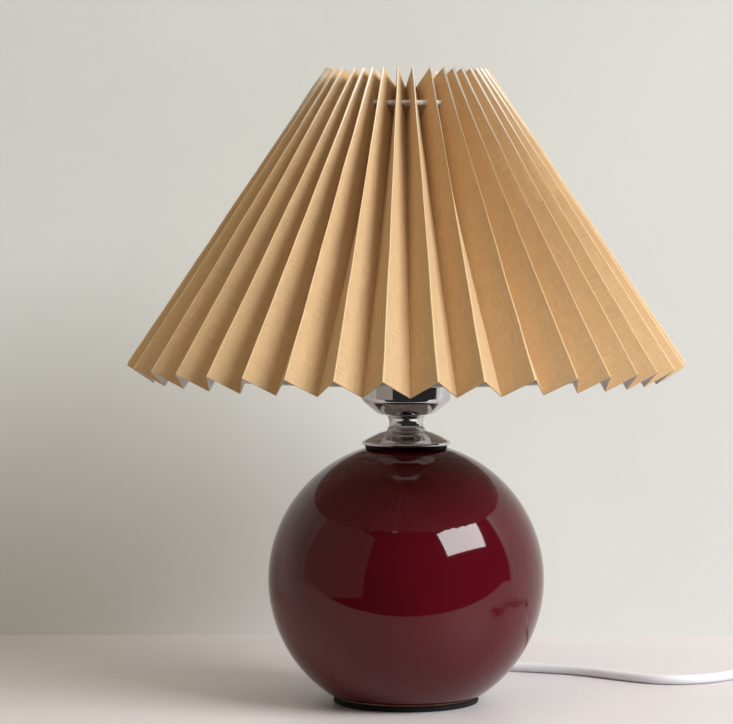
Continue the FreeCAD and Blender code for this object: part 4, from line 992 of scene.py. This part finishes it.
class LAMP_OT_shade(LampOperator):
    """Build the pleated shade"""
    bl_idname = "lamp.shade"
    bl_label = "Pleated shade"

    def build(self):
        shade = settings("lamp_shade")
        mesh = plain_mesh("pleated_linen", fold_grid(), pleat_tree(), {
            "Pleats": PLEATS, "Bottom Radius": shade.bottom_radius,
            "Top Radius": shade.top_radius, "Hem Height": SHADE_LOW * MM,
            "Top Height": SHADE_HIGH * MM, "Face Width": shade.face_width,
            "Fold Rounding": 0.00045, "Unevenness": 0.0008,
            "Material": finishes["tan_linen"]})
        bm = bmesh.new()
        bm.from_mesh(mesh)
        bmesh.ops.remove_doubles(bm, verts=bm.verts, dist=2e-6)
        bm.to_mesh(mesh)
        bm.free()
        for name in GRID_NUMBERS:
            mesh.attributes.remove(mesh.attributes[name])
        for slot in ("lining", "cut_edge"):
            mesh.materials.append(finishes[slot])
        self.crisp_hems(smooth(mesh, angle=20.0))
        linen = new_piece("pleated_linen", mesh, "shade", "tan_linen", "pleated_shade")
        wall = linen.modifiers.new("Lining", "SOLIDIFY")
        wall.thickness = shade.thickness
        wall.offset = -1.0
        wall.material_offset = 1
        wall.material_offset_rim = 2
        fold_length()

    def crisp_hems(self, mesh):
        """Mark the cut edges sharp, so the linen isn't shaded round them."""
        uses = {}
        for face in mesh.polygons:
            for key in face.edge_keys:
                uses[key] = uses.get(key, 0) + 1
        for edge in mesh.edges:
            if uses[edge.key] == 1:
                edge.use_edge_sharp = True


class LAMP_OT_shade_frame(LampOperator):
    """Build the wire frame and the gathering string"""
    bl_idname = "lamp.shade_frame"
    bl_label = "Wire frame"

    def build(self):
        middles = []
        for node in ("bottom_ring", "top_ring"):
            reach, height = radius(node) - FRAME_WIRE, low(node) + FRAME_WIRE
            middles.append(Vector((0, -reach, height)))
            turned(node + "_wire", node, "white_wire", [
                (reach + FRAME_WIRE * math.cos(k * TURN / 16),
                 FRAME_WIRE * math.sin(k * TURN / 16)) for k in range(16)],
                height, segments=160, body="shade")
        turned("fitter_plate", "fitter_ring", "white_wire", rounded([
            (20.0, 0, 0.3), (27.0, 0, 0.4), (27.0, 1.5, 0.4), (20.0, 1.5, 0.3)], 3),
            low("fitter_ring"), body="shade")
        fitter_reach, plate = 25.8, 1.5
        hub = Vector((0, -fitter_reach, low("fitter_ring") + plate / 2))
        for name, node, start, end, size, count, phase in (
                ("upright_ribs", "shade_ribs", *middles, 1.1, 6, 30),
                ("frame_spokes", "shade_spokes", hub, middles[0], 1.25, 3, 60)):
            wire = tube_mesh(name, [start, end], size, sides=12)
            new_piece(name, repeated(name, wire, count, phase, "white_wire"), "shade",
                      "white_wire", node)
        self.string()

    def string(self):
        """Three twisted strands threaded through the pleats."""
        steps, twists, strand, lay = 396, 33, 0.82, 0.68
        reach = radius("gathering_cord") - strand - lay
        height = low("gathering_cord") + strand + lay
        meshes = []
        for part in range(3):
            points = []
            for step in range(steps):
                turn = TURN * step / steps
                roll = twists * turn + TURN * part / 3
                out = reach + lay * math.cos(roll)
                points.append(Vector((out * math.sin(turn), -out * math.cos(turn),
                                      height + lay * math.sin(roll))))
            meshes.append(tube_mesh("strand", points, strand, sides=8, closed=True))
        new_piece("twisted_string", joined("twisted_string", *meshes), "shade",
                  "white_string", "gathering_cord")


# Mains cord: control points of its runs, in millimetres
LEAD_ROUTE = [
    (0.0, 70.0, 12.0), (0.3, 84.5, 11.2), (6.8, 97.6, 9.4), (19.0, 106.6, 7.2),
    (35.0, 108.6, 5.0), (54.0, 103.4, 3.4), (76.0, 98.0, 2.7), (99.0, 88.5, 2.7),
    (121.0, 69.0, 2.7), (143.0, 53.0, 2.7), (168.0, 57.0, 2.7), (187.0, 75.0, 2.7),
    (204.0, 88.5, 4.6), (221.5, 91.7, 7.0), (238.4, 85.5, 7.0)]
LINK_ROUTE = [(323.9, 54.4, 7.0), (334.2, 44.2, 5.4), (339.7, 30.8, 4.0),
              (340.3, 17.0, 3.7)]
TAIL_ROUTE = [(277.3, -39.0, 9.7), (262.6, -42.9, 6.85), (248.8, -50.9, 6.85)]
SWITCH_HEADING = math.radians(-20.0)
SWITCH_ALONG = Vector((math.cos(SWITCH_HEADING), math.sin(SWITCH_HEADING), 0))
SWITCH_LENGTH = 76.0
SWITCH_END = Vector(LEAD_ROUTE[-1]) + SWITCH_ALONG * SWITCH_LENGTH
SWITCH_MIDDLE = (Vector(LEAD_ROUTE[-1]) + SWITCH_END) / 2
COIL_TURNS = 6.25
COIL_RADIUS = 41.0
COIL_STEP = 6.0
COIL_MIDDLE = Vector((298.7, 2.0, 3.7))


def coil_route():
    """Control points of the coil's turns: in through one layer and out over it."""
    points_per_turn, climb_turns = 12, 0.5
    spread = math.cos(math.pi / points_per_turn)
    route = []
    for step in range(int(COIL_TURNS * points_per_turn) + 1):
        turn = step / points_per_turn
        reach = (COIL_RADIUS - COIL_STEP * min(turn, COIL_TURNS - turn)) / spread
        climb = (turn - COIL_TURNS / 2) / climb_turns + 0.5
        route.append(COIL_MIDDLE + Vector((
            reach * math.cos(-TURN * turn), reach * math.sin(-TURN * turn),
            COIL_STEP * min(max(climb, 0), 1))))
    return route


def cord_curve(name, points, *replaced):
    """Round cord on one smooth spline with these control points, in millimetres."""
    curve = bpy.data.curves.new(name, "CURVE")
    curve.dimensions = "3D"
    curve.bevel_depth = settings("lamp_cord").diameter / 2
    curve.bevel_resolution = 6
    curve.resolution_u = 8
    curve.use_fill_caps = True
    spline = curve.splines.new("NURBS")
    spline.points.add(len(points) - 1)
    for target, point in zip(spline.points, points):
        target.co = (*(Vector(point) * MM), 1)
    spline.order_u = 3
    spline.use_endpoint_u = True
    return new_piece(name, curve, "lamp", "white_cord", *replaced)


class LAMP_OT_cords(LampOperator):
    """Build the mains cord, its bush, its coil and the ties"""
    bl_idname = "lamp.cords"
    bl_label = "Mains cord"

    def build(self):
        diameter = settings("lamp_cord").diameter
        self.bush()
        refined("cord_stop", "clear_nylon", 0.3)
        bend, wall, top = 27.0, 70.0, high("inner_cord")
        crest = CORD_HEIGHT + bend
        level, corner, upright = 4, 12, 8
        inner = [Vector((0, wall - (wall - bend) * k / level, CORD_HEIGHT))
                 for k in range(level)]
        for k in range(corner + 1):
            angle = math.pi / 2 * k / corner
            inner.append(Vector((0, bend - bend * math.sin(angle),
                                 crest - bend * math.cos(angle))))
        inner += [Vector((0, 0, crest + (top - crest) * k / upright))
                  for k in range(1, upright + 1)]
        new_piece("cord_in_ball", tube_mesh("cord_in_ball", inner, CORD / 2, sides=20),
                  "lamp", "white_cord", "inner_cord")
        lead = cord_curve("cord_to_switch", LEAD_ROUTE, "cord_lead")
        run = cord_curve("cord_to_plug",
                         [SWITCH_END] + LINK_ROUTE + coil_route() + TAIL_ROUTE,
                         "cord_link", "cord_coil", "cord_tail")
        ties = refined("coil_ties", "clear_nylon", 0.25)

    def bush(self):
        """Tapered bush with ribs, seated on the ball's wall."""
        inside, seat, collar, end = 36.0, 49.1, 57.2, 70.0
        sides, ribs, bore = 40, 4, 2.75
        stations = [(inside, 3.2), (inside + 0.3, 4.3), (seat - 0.1, 4.3), (seat, 6.0),
                    (seat + 0.3, 6.2), (collar - 0.3, 6.2), (collar, 5.9),
                    (collar + 0.1, 4.4)]
        span = (end - collar - 0.6) / ribs
        for rib in range(ribs):
            start = collar + 0.4 + rib * span
            size = 4.4 - 0.8 * rib / ribs
            stations += [(start, size - 0.45), (start + span * 0.3, size - 0.45),
                         (start + span * 0.4, size), (start + span * 0.9, size - 0.1)]
        stations += [(end - 0.2, 3.5), (end, 3.2), (end, bore), (inside, bore)]
        bm = bmesh.new()
        rings = []
        for place, size in stations:
            ring = []
            for k in range(sides):
                x = size * math.sin(TURN * k / sides)
                z = size * math.cos(TURN * k / sides) + CORD_HEIGHT
                y = place
                if abs(place - seat) < 0.4:
                    y += math.sqrt(BALL_RADIUS**2 - (z - BALL_CENTRE) ** 2 - x**2) - seat
                ring.append(bm.verts.new((x * MM, y * MM, z * MM)))
            rings.append(ring)
        for one, other in zip(rings, rings[1:] + rings[:1]):
            for k in range(sides):
                bm.faces.new([one[k - 1], one[k], other[k], other[k - 1]])
        new_piece("ribbed_bush", mesh_from(bm, "ribbed_bush"), "lamp", "white_cord",
                  "cord_bush")


# Switch
def rib_rings(name, size, count, step, shrink):
    """Rounded ribs round a cord, repeated along +X from the origin."""
    bore = CORD / 2 + 0.05
    ring = lathe("rib_ring", rounded([(bore, 0, 0.1), (size, 0, 0.3), (size, 1.0, 0.3),
                                      (bore, 1.0, 0.1)], 3), base=0, segments=32)
    for vertex in ring.vertices:
        vertex.co = vertex.co.zxy
    return plain_mesh(name, ring, row_tree(), {
        "Count": count, "Step": (step * MM, 0, 0), "Shrink": shrink,
        "Material": finishes["white_plastic"]})


class LAMP_OT_switch(LampOperator):
    """Build the switch in the cord"""
    bl_idname = "lamp.switch"
    bl_label = "Cord switch"

    def build(self):
        for node, slot, bevel, body in (
                ("switch_base", "white_plastic", 0.12, "lamp"),
                ("switch_cover", "white_plastic", 0.12, "lamp"),
                ("switch_rocker", "white_plastic", 0.35, "switch_rocker"),
                ("switch_screws", "plated_steel", 0.12, "lamp"),
                ("switch_contacts", "brass", 0.08, "lamp"),
                ("switch_wires", "brown_insulation", 0, "lamp"),
                ("switch_cord_ends", "white_cord", 0, "lamp")):
            refined(node, slot, bevel, body)
        half, span, core_radius = 28.3, 9.6, 3.3
        halves = []
        for side, turn in ((1, 0), (-1, math.pi)):
            start = SWITCH_MIDDLE + SWITCH_ALONG * (side * half)
            end = start + SWITCH_ALONG * (side * span)
            ribs = rib_rings("relief_ribs", size=4.7, count=4, step=2.5, shrink=0.09)
            core = tube_mesh("relief_core", [start, end], core_radius, sides=24)
            core.materials.append(finishes["white_plastic"])
            halves += [moved(ribs, shift(*start) @ spin(SWITCH_HEADING + turn)), core]
        new_piece("ribbed_reliefs", joined("ribbed_reliefs", *halves), "lamp",
                  "white_plastic", "switch_reliefs")
        self.marks()

    def marks(self):
        """Raised bar and ring on the rocker, as long in plan as if it were level."""
        pin, crown = 10.0, 14.9
        rise = 0.7 / 10.5
        offset = 6.2
        bar = bmesh.new()
        bmesh.ops.create_cube(bar, size=1)
        bmesh.ops.scale(bar, vec=Vector((0.5, 3.4, 0.3)) * MM, verts=bar.verts)
        ring = lathe("ring_mark", rounded([(1.15, -0.15, 0.05), (1.65, -0.15, 0.05),
                                           (1.65, 0.15, 0.1), (1.15, 0.15, 0.1)], 2),
                     base=0, segments=40)
        rocker = (shift(SWITCH_MIDDLE.x, SWITCH_MIDDLE.y, pin) @ spin(SWITCH_HEADING)
                  @ spin(math.radians(-7.0), "Y"))
        meshes = []
        for mesh, place in ((mesh_from(bar, "bar"), -offset), (ring, offset)):
            slope = spin(-math.copysign(math.atan(rise), place), "Y")
            slope[0][0] = 1.0
            mesh.materials.append(finishes["white_plastic"])
            meshes.append(moved(mesh, rocker @ shift(
                place, 0, crown - pin + abs(place) * rise) @ slope))
        new_piece("rocker_marks", joined("rocker_marks", *meshes), "switch_rocker",
                  "white_plastic")


# Plug
class LAMP_OT_plug(LampOperator):
    """Build the plug"""
    bl_idname = "lamp.plug"
    bl_label = "Plug"

    def build(self):
        refined("plug_body", "white_plastic", 0.3)
        refined("plug_pins", "plated_steel", 0.15)
        refined("pin_sleeves", "black_insulation", 0.1)
        ribs = rib_rings("plug_relief_ribs", size=4.2, count=6, step=3.0, shrink=-0.035)
        heading = math.radians(210.0)
        moved(ribs, shift(*TAIL_ROUTE[-1]) @ spin(heading))
        new_piece("plug_relief_ribs", ribs, "lamp", "white_plastic")


# Stage
class LAMP_OT_stage(LampOperator):
    """Set up the floor, the wall, the lights and the camera"""
    bl_idname = "lamp.stage"
    bl_label = "Stage"

    def build(self):
        stage = settings("lamp_stage")
        self.room(stage)
        fill = stage.fill_power
        for name, place, target, width, height, watts, tint in (
                ("key_light", (1.996, -1.334, 1.715), (0.02, -0.02, 0.10), 1.93, 1.01,
                 stage.key_power, (0.98, 1.0, 1.0)),
                ("high_left_light", (-1.25, -0.75, 2.6), (0, 0, 0.2), 1.6, 1.5,
                 fill * 0.6, (1.0, 0.89, 0.68)),
                ("high_front_light", (0.2, -1.5, 2.4), (0, 0, 0.2), 1.6, 1.0,
                 fill * 0.9, (1.0, 0.90, 0.70)),
                ("left_light", (-1.38, -0.59, 0.58), (0, 0, 0.30), 1.95, 1.6,
                 fill * 0.19, (1.0, 0.87, 0.70)),
                ("shade_glow", (0, 0, 0.296), (0, 0, 0.2), 0.05, 0.05,
                 fill * 0.004, (1.0, 0.5, 0.25))):
            light = bpy.data.lights.new(name, "AREA")
            light.shape = "RECTANGLE"
            light.size, light.size_y = width, height
            light.energy = watts
            light.color = tint
            obj = new_object(name, light)
            obj.location = place
            aim = Vector(target) - Vector(place)
            obj.rotation_euler = aim.to_track_quat("-Z", "Y").to_euler()
            obj.visible_camera = False
            obj.visible_glossy = name != "shade_glow"
        self.surroundings()
        camera = bpy.data.cameras.new("camera")
        camera.sensor_fit = "HORIZONTAL"
        camera.sensor_width = 36.0
        camera.lens = 165.70
        camera.clip_start = 0.05
        camera.dof.use_dof = False
        obj = new_object("camera", camera)
        obj.location = (-0.0213, -1.8045, 0.2978)
        downward = 0.0635
        obj.rotation_euler = (math.pi / 2 - downward, 0, 0)
        bpy.context.scene.camera = obj
        bpy.context.scene.view_settings.view_transform = "Standard"

    def room(self, stage):
        """Floor and wall; the floor far from the lamp sends no light back to it."""
        near, far, side, reach = -0.2, 0.3, 3.0, 5.0
        back, foot, top = 0.245, -0.01, 2.4
        floor = mottled("pale_floor", stage.floor, 0.42, 14.0, 0.00005, 0.015)
        wall = self.one_sided(mottled("pale_wall", stage.wall, 0.9, 5.0, 0.0003, 0.03))
        self.flat("floor", floor, self.level(-side, side, near, far))
        beyond = self.flat(
            "floor_beyond", floor, self.level(-reach, reach, -reach, near)
            + self.level(-reach, reach, far, reach) + self.level(-reach, -side, near, far)
            + self.level(side, reach, near, far))
        beyond.visible_diffuse = False
        beyond.visible_glossy = False
        self.flat("wall", wall, [(-side, back, foot), (side, back, foot),
                                 (side, back, top), (-side, back, top)])

    def surroundings(self):
        """Dim room that lights the lamp, with a pale backdrop where no wall stands."""
        world = bpy.data.worlds.new("studio")
        bpy.context.scene.world = world
        world.use_nodes = True
        graph = Graph(world.node_tree)
        dim = graph.tree.nodes["Background"]
        graph.set(dim, Color=(0.78, 0.78, 0.80, 1), Strength=0.04)
        backdrop = graph.add("ShaderNodeBackground", (0.80, 0.80, 0.78, 1), 0.8)
        seen = graph.add("ShaderNodeLightPath", output="Is Camera Ray")
        graph.set(graph.tree.nodes["World Output"], Surface=graph.add(
            "ShaderNodeMixShader", seen, Value(graph, dim.outputs[0]), backdrop))

    def one_sided(self, material):
        """Material that is clear from behind, so the wall hides nothing from the back."""
        graph = Graph(material.node_tree)
        behind = graph.add("ShaderNodeNewGeometry", output="Backfacing")
        front = Value(graph, graph.tree.nodes["Principled BSDF"].outputs[0])
        graph.set(graph.tree.nodes["Material Output"], Surface=graph.add(
            "ShaderNodeMixShader", behind, front, graph.add("ShaderNodeBsdfTransparent")))
        return material

    def level(self, left, right, front, back):
        """Corners of a level rectangle at floor height."""
        return [(left, front, 0), (right, front, 0), (right, back, 0), (left, back, 0)]

    def flat(self, name, material, corners):
        """Stage piece of flat rectangles, four corners to each."""
        mesh = bpy.data.meshes.new(name)
        mesh.from_pydata(corners, [],
                         [range(k, k + 4) for k in range(0, len(corners), 4)])
        mesh.materials.append(material)
        obj = new_object(name, mesh)
        return obj


OPERATORS = (LAMP_OT_foot, LAMP_OT_ball, LAMP_OT_neck, LAMP_OT_holder, LAMP_OT_bulb,
             LAMP_OT_ring_nut, LAMP_OT_shade_frame, LAMP_OT_shade, LAMP_OT_switch,
             LAMP_OT_plug, LAMP_OT_cords, LAMP_OT_stage)
GROUPS = {"lamp_shade": LampShadeSettings, "lamp_base": LampBaseSettings,
          "lamp_cord": LampCordSettings, "lamp_stage": LampStageSettings}


class LAMP_PT_panel(bpy.types.Panel):
    """Sidebar panel with the lamp's settings and build steps."""
    bl_idname = "LAMP_PT_panel"
    bl_label = "Bedside Lamp"
    bl_space_type = "VIEW_3D"
    bl_region_type = "UI"
    bl_category = "Lamp"

    def draw(self, context):
        for name, group in GROUPS.items():
            box = self.layout.box()
            for key in group.__annotations__:
                box.prop(getattr(context.scene, name), key)
        for operator in OPERATORS:
            self.layout.operator(operator.bl_idname)


def register():
    """Register the settings, the operators and the panel."""
    for name, group in GROUPS.items():
        bpy.utils.register_class(group)
        setattr(bpy.types.Scene, name, bpy.props.PointerProperty(type=group))
    for item in OPERATORS + (LAMP_PT_panel,):
        bpy.utils.register_class(item)


def unregister():
    """Take the classes and settings away again."""
    for item in (LAMP_PT_panel,) + OPERATORS[::-1]:
        bpy.utils.unregister_class(item)
    for name, group in GROUPS.items():
        delattr(bpy.types.Scene, name)
        bpy.utils.unregister_class(group)


def main():
    """Build the lamp and its stage."""
    register()
    bpy.ops.lamp.stage()
    bpy.ops.lamp.foot()
    bpy.ops.lamp.ball()
    bpy.ops.lamp.neck()
    bpy.ops.lamp.holder()
    bpy.ops.lamp.bulb()
    bpy.ops.lamp.ring_nut()
    bpy.ops.lamp.shade_frame()
    bpy.ops.lamp.shade()
    bpy.ops.lamp.switch()
    bpy.ops.lamp.plug()
    bpy.ops.lamp.cords()


if __name__ == "__main__":
    main()
